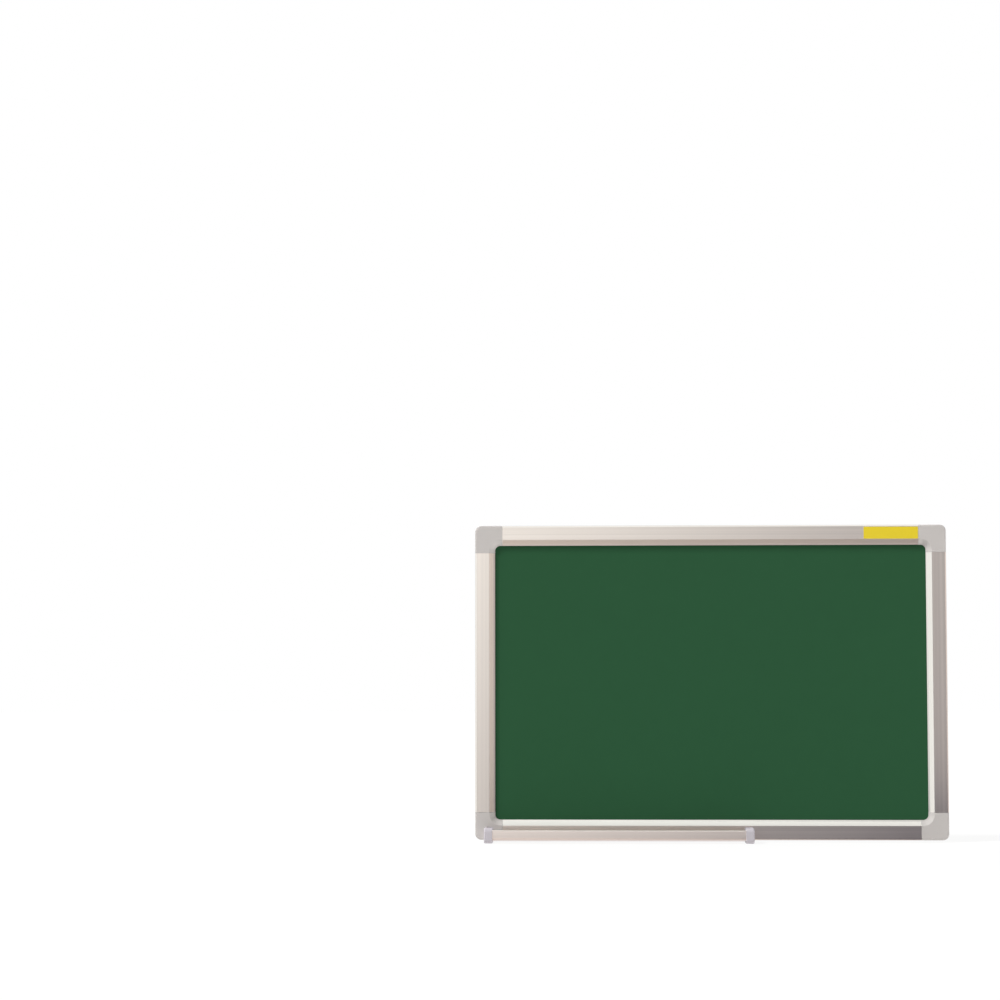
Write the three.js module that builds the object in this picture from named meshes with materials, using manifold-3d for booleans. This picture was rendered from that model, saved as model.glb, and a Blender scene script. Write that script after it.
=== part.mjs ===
// A green chalkboard in an aluminium frame, with a chalk tray that slides along the lower rail.
// Millimetres, +Z up. The board faces -Y, its back lies in the wall plane y = 0, and the origin is
// the middle of that back.
//
// Section sizes are measured in two directions that all four sides of the frame share:
// u runs inward from the frame's outer edge, and v runs forward from the wall plane.

import * as THREE from "three";
import { mergeVertices } from "three/addons/utils/BufferGeometryUtils.js";
import Module from "manifold-3d";

const wasm = await Module();
wasm.setup();

// Driving dimensions

const board = {
  width: 600, // over the frame
  height: 400,
  depth: 18, // wall plane to the rail's front face
};

const rail = {
  face: 18.4, // width of the flat front face
  slope: 5, // width of the bevel between the face and the lip
  lip: 2.1, // width of the lip that holds the writing sheet
  lipDrop: 5, // how far the lip's edge lies behind the front face
  lipRise: 0.7, // the lip is a little higher where the bevel meets it
  wall: 1.4, // outer and front wall
  slopeWall: 1.3,
  backWall: 1.8, // wall that the corner screws go through
  flange: 1.3, // flange behind the panel
  flangeReach: 24, // the flange ends this far from the outer edge
  channelFloor: 14, // the panel channel starts this far from the outer edge
  stopWall: 1.2, // wall between the panel channel and the spigot chamber
  outerRadius: 2.2, // front outer edge
  crestRadius: 1, // edge between the face and the bevel
  backChamfer: 0.6,
};

// The tray's hook runs in this T-shaped groove in the outer side of every rail.
const groove = {
  middle: 10.1, // depth of the mouth's middle
  mouth: 3, // width of the mouth
  back: 4.1, // the cavity reaches this far behind the middle
  front: 2.3, // and this far in front of it
  depth: 3, // depth of the cavity under the outer wall
  wall: 1.2,
  stop: 22.9, // the groove ends in the corners, this far from the frame's outer edge
};

const panel = {
  writingSheet: 0.5, // enamelled steel
  backingSheet: 0.4, // galvanised steel
  edgeGap: 0.4, // panel edge to the channel floor
  glueLine: 0.05,
};

const corner = {
  arm: 35, // length of each arm over the outside
  outerRadius: 8,
  innerRadius: 6.5, // fillet between the two lips
  seam: 0.1, // joint between a corner and a rail's end
  wall: 2,
  rib: 3, // solid end of each arm
  spigotLength: 27,
  spigotFit: 0.3, // all round, in the rail's chamber
  spigotNose: 2,
  spigotWall: 1.8,
};

const keyhole = {
  head: 7.2, // hole that a wall screw's head goes through
  slot: 4, // slot for its shank, above and below the hole
  slotLength: 15,
  height: 13.6, // the hole's middle, from the outer end of the frame
  plate: 2,
  pocketFront: 9, // the pocket for the screw's head ends at this depth
  pocketMargin: 0.9, // pocket beyond the ends of the slot
};

const screw = {
  radius: 1.45,
  headRadius: 2.8,
  headHeight: 1.35,
  sunk: 0.15, // the head lies this far below the back of the rail
  length: 9.5,
  point: 2, // length of the tapered end
  tip: 0.6, // radius of its blunt tip
  fit: 0.2, // radial clearance of its holes
  inset: 12, // from the rail's end
  recess: 0.7, // width of the cross recess
  recessSpan: 3,
  recessDepth: 0.9,
};

const tray = {
  length: 340, // over the end caps
  offset: 12.8, // end cap to the frame's outer edge, with the tray at its left stop
  wall: 1.2,
  reach: 36, // in front of the rail's face
  frontRise: 1.6, // height of the trough's front underside above the frame's lower edge
  lipTop: 14.2, // height of the lip's rolled edge
  bead: 1.4, // radius of the rolled edge
  bottomRadius: 3, // outside, where the trough's floor turns up into the lip
  running: 0.3, // clearance of what slides on the rail
  tail: 2.6, // depth at which the floor ends behind the hook
  stem: 1.5,
  barb: 2.6, // how far the hook's barb reaches behind its stem
  barbHeight: 1.5,
};

const cap = {
  width: 10.5,
  endWall: 2.4,
  top: 16.8, // heights from the frame's lower edge
  bottom: -2.6,
  proud: 1.2, // in front of the tray's lip
  railGap: 0.5,
  rearWall: 1.8,
  frontWall: 3.8,
  edgeRadius: 1.8,
  frontTopRadius: 5,
  frontBottomRadius: 4,
  rearRadius: 1.5,
  fit: 0.2, // round the end of the tray
  floor: 1.4, // under the pocket, on top of the tray's floor
};

const label = {
  length: 69,
  height: 15.4,
  thickness: 0.15,
  gap: 0.02, // glue under the label
  margin: 0.4, // to the corner's seam
  radius: 0.6,
};

// Sizes that follow from them

const lipEdge = rail.face + rail.slope + rail.lip;
const lipFront = board.depth - rail.lipDrop;
const lipBack = lipFront - rail.slopeWall;
const faceBack = board.depth - rail.wall;
const chamberEnd = rail.channelFloor - rail.stopWall;
const grooveMouth = [groove.middle - groove.mouth / 2, groove.middle + groove.mouth / 2];
const grooveCavity = [groove.middle - groove.back, groove.middle + groove.front];
const grooveRoof = rail.wall + groove.depth;
const spigotAcross = [grooveRoof + groove.wall + corner.spigotFit, chamberEnd - corner.spigotFit];
const spigotDeep = [rail.backWall + corner.spigotFit, faceBack - corner.spigotFit];
const spigotMiddle = (spigotAcross[0] + spigotAcross[1]) / 2;
const screwFromOuterEdge = corner.arm + corner.seam + screw.inset;
const keyholeAcross = (corner.wall + chamberEnd) / 2;

// Materials

const aluminium = new THREE.MeshStandardMaterial({ color: 0xcbc0b8, roughness: 0.38, metalness: 0.9 });
const trayAluminium = new THREE.MeshStandardMaterial({ color: 0xd0c7c1, roughness: 0.36, metalness: 0.9 });
const cornerPlastic = new THREE.MeshStandardMaterial({ color: 0xc0bcba, roughness: 0.5, metalness: 0 });
const capPlastic = new THREE.MeshStandardMaterial({ color: 0xbcb8be, roughness: 0.48, metalness: 0 });
const chalkGreen = new THREE.MeshStandardMaterial({ color: 0x2b5136, roughness: 0.82, metalness: 0 });
const coreBoard = new THREE.MeshStandardMaterial({ color: 0x9c7b56, roughness: 0.9, metalness: 0 });
const galvanised = new THREE.MeshStandardMaterial({ color: 0xa9adb0, roughness: 0.45, metalness: 0.85 });
const zincSteel = new THREE.MeshStandardMaterial({ color: 0xb4b6b8, roughness: 0.35, metalness: 0.95 });
const yellowPaper = new THREE.MeshStandardMaterial({ color: 0xe0c832, roughness: 0.6, metalness: 0 });

// Solids

// A closed geometry as a manifold-3d solid.
function solid(geometry) {
  const bare = geometry.index ? geometry.toNonIndexed() : geometry.clone();
  bare.deleteAttribute("normal");
  bare.deleteAttribute("uv");
  const merged = mergeVertices(bare, 1e-4);
  return new wasm.Manifold(
    new wasm.Mesh({
      numProp: 3,
      vertProperties: merged.attributes.position.array,
      triVerts: new Uint32Array(merged.index.array),
    }),
  );
}

function geometryOf(manifold) {
  const mesh = manifold.getMesh();
  const indexed = new THREE.BufferGeometry();
  indexed.setAttribute("position", new THREE.BufferAttribute(mesh.vertProperties, 3));
  indexed.setIndex(new THREE.BufferAttribute(mesh.triVerts, 1));
  const flat = indexed.toNonIndexed();
  flat.computeVertexNormals();
  return flat;
}

function cut(body, tools) {
  return tools.reduce((left, tool) => left.subtract(solid(tool)), solid(body));
}

function box([x0, x1], [y0, y1], [z0, z1]) {
  const shape = new THREE.BoxGeometry(x1 - x0, y1 - y0, z1 - z0);
  return shape.translate((x0 + x1) / 2, (y0 + y1) / 2, (z0 + z1) / 2);
}

// A copy that a mirroring matrix has moved, with its faces turned back outwards.
function mirrored(geometry, matrix) {
  const copy = geometry.index ? geometry.toNonIndexed() : geometry.clone();
  copy.applyMatrix4(matrix);
  const positions = copy.attributes.position;
  for (let i = 0; i < positions.count; i += 3) {
    const second = new THREE.Vector3().fromBufferAttribute(positions, i + 1);
    const third = new THREE.Vector3().fromBufferAttribute(positions, i + 2);
    positions.setXYZ(i + 1, ...third);
    positions.setXYZ(i + 2, ...second);
  }
  copy.computeVertexNormals();
  return copy;
}

function piece(name, geometry, material) {
  const mesh = new THREE.Mesh(geometry, material);
  mesh.name = name;
  return mesh;
}

// Outlines

// Points of a polyline of [x, y] or [x, y, radius] corners, with an arc at each corner that has a
// radius. One arc step turns by 18 degrees at most.
function rounded(corners, closed = true) {
  const points = [];
  corners.forEach(([x, y, radius], i) => {
    const here = new THREE.Vector2(x, y);
    if (!radius) {
      points.push(here);
      return;
    }
    const count = corners.length;
    const before = closed ? corners[(i + count - 1) % count] : corners[i - 1];
    const after = closed ? corners[(i + 1) % count] : corners[i + 1];
    const toBefore = new THREE.Vector2(before[0] - x, before[1] - y).normalize();
    const toAfter = new THREE.Vector2(after[0] - x, after[1] - y).normalize();
    const half = Math.acos(THREE.MathUtils.clamp(toBefore.dot(toAfter), -1, 1)) / 2;
    const middle = toBefore.clone().add(toAfter).normalize();
    const centre = here.clone().addScaledVector(middle, radius / Math.sin(half));
    const start = here.clone().addScaledVector(toBefore, radius / Math.tan(half));
    const turn = Math.PI - 2 * half;
    const side = Math.sign(toBefore.cross(toAfter));
    const steps = Math.ceil(turn / THREE.MathUtils.degToRad(18));
    for (let k = 0; k <= steps; k++) {
      points.push(start.clone().rotateAround(centre, (-side * turn * k) / steps));
    }
  });
  return points;
}

function shapeOf(points, holes = []) {
  const shape = new THREE.Shape(points);
  shape.holes = holes.map((hole) => new THREE.Path(hole));
  return shape;
}

function extruded(shape, depth) {
  return new THREE.ExtrudeGeometry(shape, { depth, bevelEnabled: false, curveSegments: 10 });
}

// A section drawn in (u, v), drawn out along the lower side of the frame from x0 to x1: u points
// up and v points forward.
function alongLowerSide(shape, x0, x1) {
  const turn = new THREE.Matrix4().makeBasis(
    new THREE.Vector3(0, 0, 1),
    new THREE.Vector3(0, -1, 0),
    new THREE.Vector3(1, 0, 0),
  );
  return extruded(shape, x1 - x0).applyMatrix4(turn).translate(x0, 0, 0);
}

// Value of u on a polyline of section points at the depth v.
function insetAt(points, v) {
  for (let i = 1; i < points.length; i++) {
    const [low, high] = [points[i - 1], points[i]].sort((a, b) => a.y - b.y);
    if (v >= low.y && v <= high.y && high.y > low.y) {
      return THREE.MathUtils.mapLinear(v, low.y, high.y, low.x, high.x);
    }
  }
  return points[0].x;
}

// Rail section

// Lip, bevel and crest, from the lip's edge up to the front face.
const innerEdge = rounded(
  [
    [lipEdge, lipFront],
    [lipEdge - rail.lip, lipFront + rail.lipRise],
    [rail.face, board.depth, rail.crestRadius],
    [rail.face / 2, board.depth],
  ],
  false,
).slice(0, -1);

// From the front face round to the outer side.
const outerEdge = rounded(
  [
    [rail.face / 2, board.depth],
    [0, board.depth, rail.outerRadius],
    [0, grooveCavity[1]],
  ],
  false,
).slice(1, -1);

// Where the back of the bevel's wall meets a given depth.
function slopeBackAt(v) {
  const run = rail.slope;
  const rise = rail.lipDrop - rail.lipRise;
  const slant = Math.hypot(run, rise);
  const u = rail.face - (rail.slopeWall * rise) / slant;
  const top = board.depth - (rail.slopeWall * run) / slant;
  return u + ((top - v) * run) / rise;
}

function railSection() {
  const outline = [
    new THREE.Vector2(rail.backChamfer, 0),
    new THREE.Vector2(rail.flangeReach, 0),
    new THREE.Vector2(rail.flangeReach, rail.flange),
    new THREE.Vector2(rail.channelFloor, rail.flange),
    new THREE.Vector2(rail.channelFloor, faceBack),
    new THREE.Vector2(slopeBackAt(faceBack), faceBack),
    new THREE.Vector2(slopeBackAt(lipBack), lipBack),
    new THREE.Vector2(lipEdge, lipBack),
    ...innerEdge,
    ...outerEdge,
    new THREE.Vector2(0, grooveMouth[1]),
    new THREE.Vector2(rail.wall, grooveMouth[1]),
    new THREE.Vector2(rail.wall, grooveCavity[1]),
    new THREE.Vector2(grooveRoof, grooveCavity[1]),
    new THREE.Vector2(grooveRoof, grooveCavity[0]),
    new THREE.Vector2(rail.wall, grooveCavity[0]),
    new THREE.Vector2(rail.wall, grooveMouth[0]),
    new THREE.Vector2(0, grooveMouth[0]),
    new THREE.Vector2(0, rail.backChamfer),
  ];
  const chamber = rounded([
    [rail.wall, rail.backWall],
    [chamberEnd, rail.backWall],
    [chamberEnd, faceBack],
    [rail.wall, faceBack, rail.outerRadius - rail.wall],
    [rail.wall, grooveCavity[1] + groove.wall],
    [grooveRoof + groove.wall, grooveCavity[1] + groove.wall],
    [grooveRoof + groove.wall, grooveCavity[0] - groove.wall],
    [rail.wall, grooveCavity[0] - groove.wall],
  ]);
  return shapeOf(outline, [chamber]);
}

// Screws

function revolved(profile) {
  return new THREE.LatheGeometry(
    profile.map(([radius, y]) => new THREE.Vector2(radius, y)),
    16,
  );
}

// A countersunk screw that points forward from the back of the rail, with a cross recess.
function screwSolid() {
  const top = -screw.sunk;
  const body = revolved([
    [0, -screw.length],
    [screw.tip, -screw.length],
    [screw.radius, screw.point - screw.length],
    [screw.radius, top - screw.headHeight],
    [screw.headRadius, top],
    [0, top],
  ]);
  const across = [-screw.recessSpan / 2, screw.recessSpan / 2];
  const narrow = [-screw.recess / 2, screw.recess / 2];
  const deep = [top - screw.recessDepth, 1];
  return geometryOf(cut(body, [box(across, deep, narrow), box(narrow, deep, across)]));
}

// The tool that drills and countersinks a screw's hole.
function screwHole() {
  const { fit } = screw;
  const bottom = -screw.length - fit;
  const above = 1;
  return revolved([
    [0, bottom],
    [screw.radius + fit, bottom],
    [screw.radius + fit, -screw.sunk - screw.headHeight],
    [screw.headRadius + fit, -screw.sunk],
    [screw.headRadius + fit, above],
    [0, above],
  ]);
}

// Corner mouldings

// A corner is drawn in its own frame: p and q run inward from the frame's outer corner along the
// two arms, and v runs forward. One layer of it is an L with the given insets from the outer edge.
function cornerLayer(v, outer, inner) {
  const heel = lipEdge + corner.innerRadius;
  const { arm, outerRadius } = corner;
  const path = new THREE.Path();
  path.moveTo(arm, outer);
  path.lineTo(arm, inner);
  path.absarc(heel, heel, heel - inner, -Math.PI / 2, -Math.PI, true);
  path.lineTo(inner, arm);
  path.lineTo(outer, arm);
  path.absarc(outerRadius, outerRadius, outerRadius - outer, -Math.PI, -Math.PI / 2, false);
  return path.getPoints(8).map((point) => new THREE.Vector3(point.x, point.y, v));
}

// A closed body through layers that have the same number of points.
function stacked(layers) {
  const count = layers[0].length;
  const positions = layers.flat().flatMap((point) => point.toArray());
  const faces = [];
  for (let k = 0; k + 1 < layers.length; k++) {
    for (let i = 0; i < count; i++) {
      const [a, b] = [k * count + i, k * count + ((i + 1) % count)];
      faces.push(a, b, b + count, a, b + count, a + count);
    }
  }
  const flat = (layer) => layer.map((point) => new THREE.Vector2(point.x, point.y));
  const last = (layers.length - 1) * count;
  THREE.ShapeUtils.triangulateShape(flat(layers[0]), []).forEach(([a, b, c]) => faces.push(a, c, b));
  THREE.ShapeUtils.triangulateShape(flat(layers.at(-1)), []).forEach(([a, b, c]) =>
    faces.push(last + a, last + b, last + c),
  );
  const geometry = new THREE.BufferGeometry();
  geometry.setAttribute("position", new THREE.Float32BufferAttribute(positions, 3));
  geometry.setIndex(faces);
  return geometry;
}

function cornerBlock() {
  const edgePoints = [...innerEdge, ...outerEdge];
  const levels = [
    ...new Set([0, rail.backChamfer, rail.flange, lipBack, ...edgePoints.map((point) => point.y)]),
  ].sort((a, b) => a - b);
  const layers = levels
    .filter((v, i) => !i || v - levels[i - 1] > 1e-3)
    .map((v) => {
      const outer = v < rail.backChamfer ? rail.backChamfer - v : insetAt(outerEdge, v);
      const inner = v <= rail.flange ? rail.flangeReach : v <= lipFront ? lipEdge : insetAt(innerEdge, v);
      return cornerLayer(v, v < outerEdge.at(-1).y && v >= rail.backChamfer ? 0 : outer, inner);
    });
  return stacked(layers);
}

// The two arms of a corner are alike, so what is made for the arm along p is mirrored for q.
function swapArms(geometry) {
  const swapped = new THREE.Matrix4().makeBasis(
    new THREE.Vector3(0, 1, 0),
    new THREE.Vector3(1, 0, 0),
    new THREE.Vector3(0, 0, 1),
  );
  return mirrored(geometry, swapped);
}

function spigot() {
  const tip = corner.arm + corner.spigotLength;
  const [near, far] = spigotAcross;
  const outline = rounded([
    [corner.arm - corner.rib / 2, near],
    [tip - corner.spigotNose, near],
    [tip, near + corner.spigotNose / 2],
    [tip, far - corner.spigotNose / 2],
    [tip - corner.spigotNose, far],
    [corner.arm - corner.rib / 2, far],
  ]);
  return extruded(shapeOf(outline), spigotDeep[1] - spigotDeep[0]).translate(0, 0, spigotDeep[0]);
}

// Holes and hollows of one arm, for the arm that runs along p.
function armTools() {
  const tip = corner.arm + corner.spigotLength;
  const past = corner.arm + 1;
  return [
    box([groove.stop, past], [-1, rail.wall + 0.1], grooveMouth),
    box([groove.stop, past], [rail.wall, grooveRoof], grooveCavity),
    box(
      [groove.stop + corner.wall, corner.arm - corner.rib],
      [grooveRoof + groove.wall, rail.channelFloor + 0.5],
      [corner.wall, faceBack],
    ),
    box(
      [screwFromOuterEdge + 2 * screw.headRadius, tip + 1],
      [spigotAcross[0] + corner.spigotWall, spigotAcross[1] - corner.spigotWall],
      [spigotDeep[0] + corner.spigotWall, spigotDeep[1] - corner.spigotWall],
    ),
    screwHole().rotateX(-Math.PI / 2).translate(screwFromOuterEdge, spigotMiddle, 0),
  ];
}

// The keyhole and the pocket behind its plate, in the arm that runs along q.
function keyholeTools() {
  const through = keyhole.plate + 2;
  const half = keyhole.slotLength / 2;
  const slot = rounded([
    [keyholeAcross - keyhole.slot / 2, keyhole.height - half, keyhole.slot / 2 - 0.01],
    [keyholeAcross + keyhole.slot / 2, keyhole.height - half, keyhole.slot / 2 - 0.01],
    [keyholeAcross + keyhole.slot / 2, keyhole.height + half, keyhole.slot / 2 - 0.01],
    [keyholeAcross - keyhole.slot / 2, keyhole.height + half, keyhole.slot / 2 - 0.01],
  ]);
  const head = new THREE.CylinderGeometry(keyhole.head / 2, keyhole.head / 2, through, 24);
  return [
    extruded(shapeOf(slot), through).translate(0, 0, -1),
    head.rotateX(Math.PI / 2).translate(keyholeAcross, keyhole.height, through / 2 - 1),
    box(
      [corner.wall, rail.channelFloor + 0.5],
      [keyhole.height - half - keyhole.pocketMargin, keyhole.height + half + keyhole.pocketMargin],
      [keyhole.plate, keyhole.pocketFront],
    ),
  ];
}

// A corner moulding. The keyhole stands upright on the wall, so it lies in the arm along p or q,
// whichever of them is vertical.
function cornerMoulding(uprightArm) {
  const channel = box(
    [rail.channelFloor, corner.arm + 1],
    [rail.channelFloor, corner.arm + 1],
    [rail.flange, lipBack],
  );
  const keyholes = keyholeTools();
  const tools = [
    channel,
    ...armTools(),
    ...armTools().map(swapArms),
    ...(uprightArm === "q" ? keyholes : keyholes.map(swapArms)),
  ];
  const body = solid(cornerBlock()).add(solid(spigot())).add(solid(swapArms(spigot())));
  const shaped = tools.reduce((left, tool) => left.subtract(solid(tool)), body);
  const upright = new THREE.Matrix4().makeBasis(
    new THREE.Vector3(1, 0, 0),
    new THREE.Vector3(0, 0, 1),
    new THREE.Vector3(0, -1, 0),
  );
  return geometryOf(shaped).applyMatrix4(upright);
}

// Frame

// One side of the frame, drawn as the lower side and turned about the board's middle: its rail,
// the two screws at the rail's ends, and the corner at its start.
function frameSide(side) {
  const group = new THREE.Group();
  const railLength = side.length - 2 * (corner.arm + corner.seam);
  const screwAt = railLength / 2 - screw.inset;
  const drills = [-screwAt, screwAt].map((x) => screwHole().translate(x, 0, spigotMiddle));
  const section = alongLowerSide(railSection(), -railLength / 2, railLength / 2);
  group.add(piece(`${side.name}_rail`, geometryOf(cut(section, drills)), aluminium));
  side.ends.forEach((end, i) => {
    const fastener = piece(`screw_${side.name}_rail_${end}`, screwSolid(), zincSteel);
    fastener.position.set(i ? screwAt : -screwAt, 0, spigotMiddle);
    group.add(fastener);
  });
  const moulding = piece(`corner_${side.corner}`, cornerMoulding(side.upright), cornerPlastic);
  moulding.position.set(-side.length / 2, 0, 0);
  group.add(moulding);
  group.children.forEach((child) => child.translateZ(-side.distance));
  group.rotation.y = side.turn;
  return group;
}

function frame() {
  const across = { length: board.width, distance: board.height / 2 };
  const upright = { length: board.height, distance: board.width / 2 };
  const quarter = Math.PI / 2;
  const sides = [
    { ...across, name: "bottom", turn: 0, ends: ["left", "right"], corner: "bottom_left", upright: "q" },
    { ...upright, name: "left", turn: quarter, ends: ["top", "bottom"], corner: "top_left", upright: "p" },
    { ...across, name: "top", turn: 2 * quarter, ends: ["right", "left"], corner: "top_right", upright: "q" },
    { ...upright, name: "right", turn: 3 * quarter, ends: ["bottom", "top"], corner: "bottom_right", upright: "p" },
  ];
  const group = new THREE.Group();
  sides.forEach((side) => group.add(frameSide(side)));
  return group;
}

// Panel

function panelLayers() {
  const inset = rail.channelFloor + panel.edgeGap;
  const half = { x: board.width / 2 - inset, z: board.height / 2 - inset };
  const backing = [rail.flange + panel.glueLine, rail.flange + panel.glueLine + panel.backingSheet];
  const writing = [lipBack - panel.glueLine - panel.writingSheet, lipBack - panel.glueLine];
  const core = [backing[1] + panel.glueLine, writing[0] - panel.glueLine];
  const plate = (name, [back, front], material) =>
    piece(name, box([-half.x, half.x], [-front, -back], [-half.z, half.z]), material);
  const group = new THREE.Group();
  group.add(
    plate("backing_sheet", backing, galvanised),
    plate("core_board", core, coreBoard),
    plate("writing_sheet", writing, chalkGreen),
  );
  return group;
}

// Label

function blankLabel() {
  const half = [label.length / 2, label.height / 2];
  const outline = rounded([
    [-half[0], -half[1], label.radius],
    [half[0], -half[1], label.radius],
    [half[0], half[1], label.radius],
    [-half[0], half[1], label.radius],
  ]);
  const plate = extruded(shapeOf(outline), label.thickness).rotateX(Math.PI / 2);
  const mesh = piece("label", plate, yellowPaper);
  const flatMiddle = (rail.outerRadius + rail.face) / 2;
  mesh.position.set(
    board.width / 2 - corner.arm - label.margin - half[0],
    -board.depth - label.gap,
    board.height / 2 - flatMiddle,
  );
  return mesh;
}

// Tray

const trayFront = board.depth + tray.reach;

// At rest the hook's left end is a running clearance away from the end of the groove.
const hookHalf = tray.length / 2 + tray.offset - groove.stop - tray.running;

const floorUnderRail = -tray.running; // top of the floor where it passes under the rail

// Floor and lip as one bent strip. Grown by a clearance it is the socket in an end cap. The start
// is the depth at which the strip begins.
function trayStrip(start, grow) {
  const bottomCorner = tray.frontRise;
  const low = floorUnderRail - tray.wall;
  const bend = board.depth + cap.railGap;
  const { bottomRadius, wall } = tray;
  return rounded([
    [low - grow, start],
    [low - grow, bend],
    [bottomCorner - grow, trayFront + grow, bottomRadius + grow],
    [tray.lipTop - tray.bead, trayFront + grow],
    [tray.lipTop - tray.bead, trayFront - wall - grow],
    [bottomCorner + wall + grow, trayFront - wall - grow, bottomRadius - wall - grow],
    [floorUnderRail + grow, bend],
    [floorUnderRail + grow, start],
  ]);
}

// The rolled edge on top of the lip.
function trayBead(grow) {
  const middle = [tray.lipTop - tray.bead, trayFront - tray.bead];
  const steps = 20;
  return Array.from({ length: steps }, (_, i) => {
    const angle = (2 * Math.PI * (i + 0.5)) / steps;
    const radius = (tray.bead + grow) / Math.cos(Math.PI / steps);
    return new THREE.Vector2(middle[0] + radius * Math.cos(angle), middle[1] + radius * Math.sin(angle));
  });
}

function trayHook() {
  const foot = floorUnderRail - tray.wall / 2;
  const catchHeight = rail.wall + tray.running;
  const stemBack = groove.middle - tray.stem / 2;
  const barbBack = stemBack - tray.barb;
  const chamfer = tray.barbHeight / 2;
  return [
    [foot, stemBack],
    [catchHeight, stemBack],
    [catchHeight, barbBack],
    [catchHeight + tray.barbHeight - chamfer, barbBack],
    [catchHeight + tray.barbHeight, barbBack + chamfer],
    [catchHeight + tray.barbHeight, stemBack + tray.stem],
    [foot, stemBack + tray.stem],
  ].map(([u, v]) => new THREE.Vector2(u, v));
}

// The side of an end cap, with the rounded edges that face away from the tray.
function capBlock() {
  const r = cap.edgeRadius;
  const back = board.depth + cap.railGap + r;
  const front = trayFront + cap.proud - r;
  const outline = rounded([
    [cap.bottom + r, back, cap.rearRadius],
    [cap.bottom + r, front, cap.frontBottomRadius - r],
    [cap.top - r, front, cap.frontTopRadius - r],
    [cap.top - r, back, cap.rearRadius],
  ]);
  return new THREE.ExtrudeGeometry(shapeOf(outline), {
    depth: cap.width,
    bevelThickness: r,
    bevelSize: r,
    bevelSegments: 4,
    curveSegments: 10,
  });
}

// An end cap for the left end, drawn with its end wall's outer face at x = 0.
function endCap() {
  const { width, endWall, edgeRadius } = cap;
  const turn = new THREE.Matrix4().makeBasis(
    new THREE.Vector3(0, 0, 1),
    new THREE.Vector3(0, -1, 0),
    new THREE.Vector3(1, 0, 0),
  );
  const block = capBlock().translate(0, 0, edgeRadius).applyMatrix4(turn);
  const back = board.depth + cap.railGap;
  const front = trayFront + cap.proud;
  const floorTop = tray.frontRise + tray.wall + cap.floor;
  const cutOff = box([width, 3 * width], [-2 * front, 0], [2 * cap.bottom, 2 * cap.top]);
  const pocket = box(
    [endWall, 2 * width],
    [-(front - cap.frontWall), -(back + cap.rearWall)],
    [floorTop, 2 * cap.top],
  );
  const socket = alongLowerSide(shapeOf(trayStrip(back - 1, cap.fit)), endWall, 2 * width);
  const beadSocket = alongLowerSide(shapeOf(trayBead(cap.fit)), endWall, 2 * width);
  return geometryOf(cut(block, [cutOff, pocket, socket, beadSocket]));
}

function chalkTray() {
  const inside = tray.length / 2 - cap.endWall - cap.fit;
  const strip = solid(alongLowerSide(shapeOf(trayStrip(tray.tail, 0)), -inside, inside));
  const bead = solid(alongLowerSide(shapeOf(trayBead(0)), -inside, inside));
  const hook = solid(alongLowerSide(shapeOf(trayHook()), -hookHalf, hookHalf));
  const left = endCap();
  const right = mirrored(left, new THREE.Matrix4().makeScale(-1, 1, 1));
  const group = new THREE.Group();
  group.add(piece("tray", geometryOf(strip.add(bead).add(hook)), trayAluminium));
  group.add(piece("tray_cap_left", left, capPlastic));
  group.add(piece("tray_cap_right", right, capPlastic));
  group.children[1].position.x = -tray.length / 2;
  group.children[2].position.x = tray.length / 2;
  group.position.set(-board.width / 2 + tray.offset + tray.length / 2, 0, -board.height / 2);
  return group;
}

const chalkboard = new THREE.Group();
chalkboard.add(panelLayers(), frame(), blankLabel(), chalkTray());

export default chalkboard;
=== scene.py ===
import math

import bmesh
import bpy
from bpy.props import FloatProperty, FloatVectorProperty, IntProperty, PointerProperty
from bpy.types import Operator, Panel, PropertyGroup
from mathutils import Matrix, Vector


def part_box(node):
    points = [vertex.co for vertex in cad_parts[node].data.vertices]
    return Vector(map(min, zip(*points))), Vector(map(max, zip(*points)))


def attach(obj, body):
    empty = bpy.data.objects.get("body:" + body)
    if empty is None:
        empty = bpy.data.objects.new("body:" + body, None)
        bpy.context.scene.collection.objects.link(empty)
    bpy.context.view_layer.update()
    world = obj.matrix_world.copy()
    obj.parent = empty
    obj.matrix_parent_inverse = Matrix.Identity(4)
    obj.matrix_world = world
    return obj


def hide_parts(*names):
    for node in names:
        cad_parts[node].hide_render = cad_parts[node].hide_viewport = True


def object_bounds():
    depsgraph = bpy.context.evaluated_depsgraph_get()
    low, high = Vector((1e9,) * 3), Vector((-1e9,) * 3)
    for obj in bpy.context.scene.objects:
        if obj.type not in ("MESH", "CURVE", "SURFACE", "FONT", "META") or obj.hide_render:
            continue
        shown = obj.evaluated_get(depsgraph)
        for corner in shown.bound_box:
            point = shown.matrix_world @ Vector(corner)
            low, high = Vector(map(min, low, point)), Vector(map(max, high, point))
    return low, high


bl_info = {
    "name": "Framed Chalkboard",
    "version": (1, 0, 0),
    "blender": (4, 5, 0),
    "location": "3D View > Sidebar > Chalkboard",
    "description": "Builds the looks of a framed chalkboard and its sliding chalk tray on a fixed frame",
    "category": "Object",
}

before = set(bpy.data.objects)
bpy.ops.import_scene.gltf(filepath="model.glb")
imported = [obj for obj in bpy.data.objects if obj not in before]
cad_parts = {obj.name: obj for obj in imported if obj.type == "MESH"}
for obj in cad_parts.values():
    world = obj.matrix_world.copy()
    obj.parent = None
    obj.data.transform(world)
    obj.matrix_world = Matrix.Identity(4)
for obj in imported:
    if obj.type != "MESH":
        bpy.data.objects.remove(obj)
CAD_LOW, CAD_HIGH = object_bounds()

MM = 0.001
BOARD_BODY = "board"
TRAY_BODY = "chalk_tray"

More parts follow.
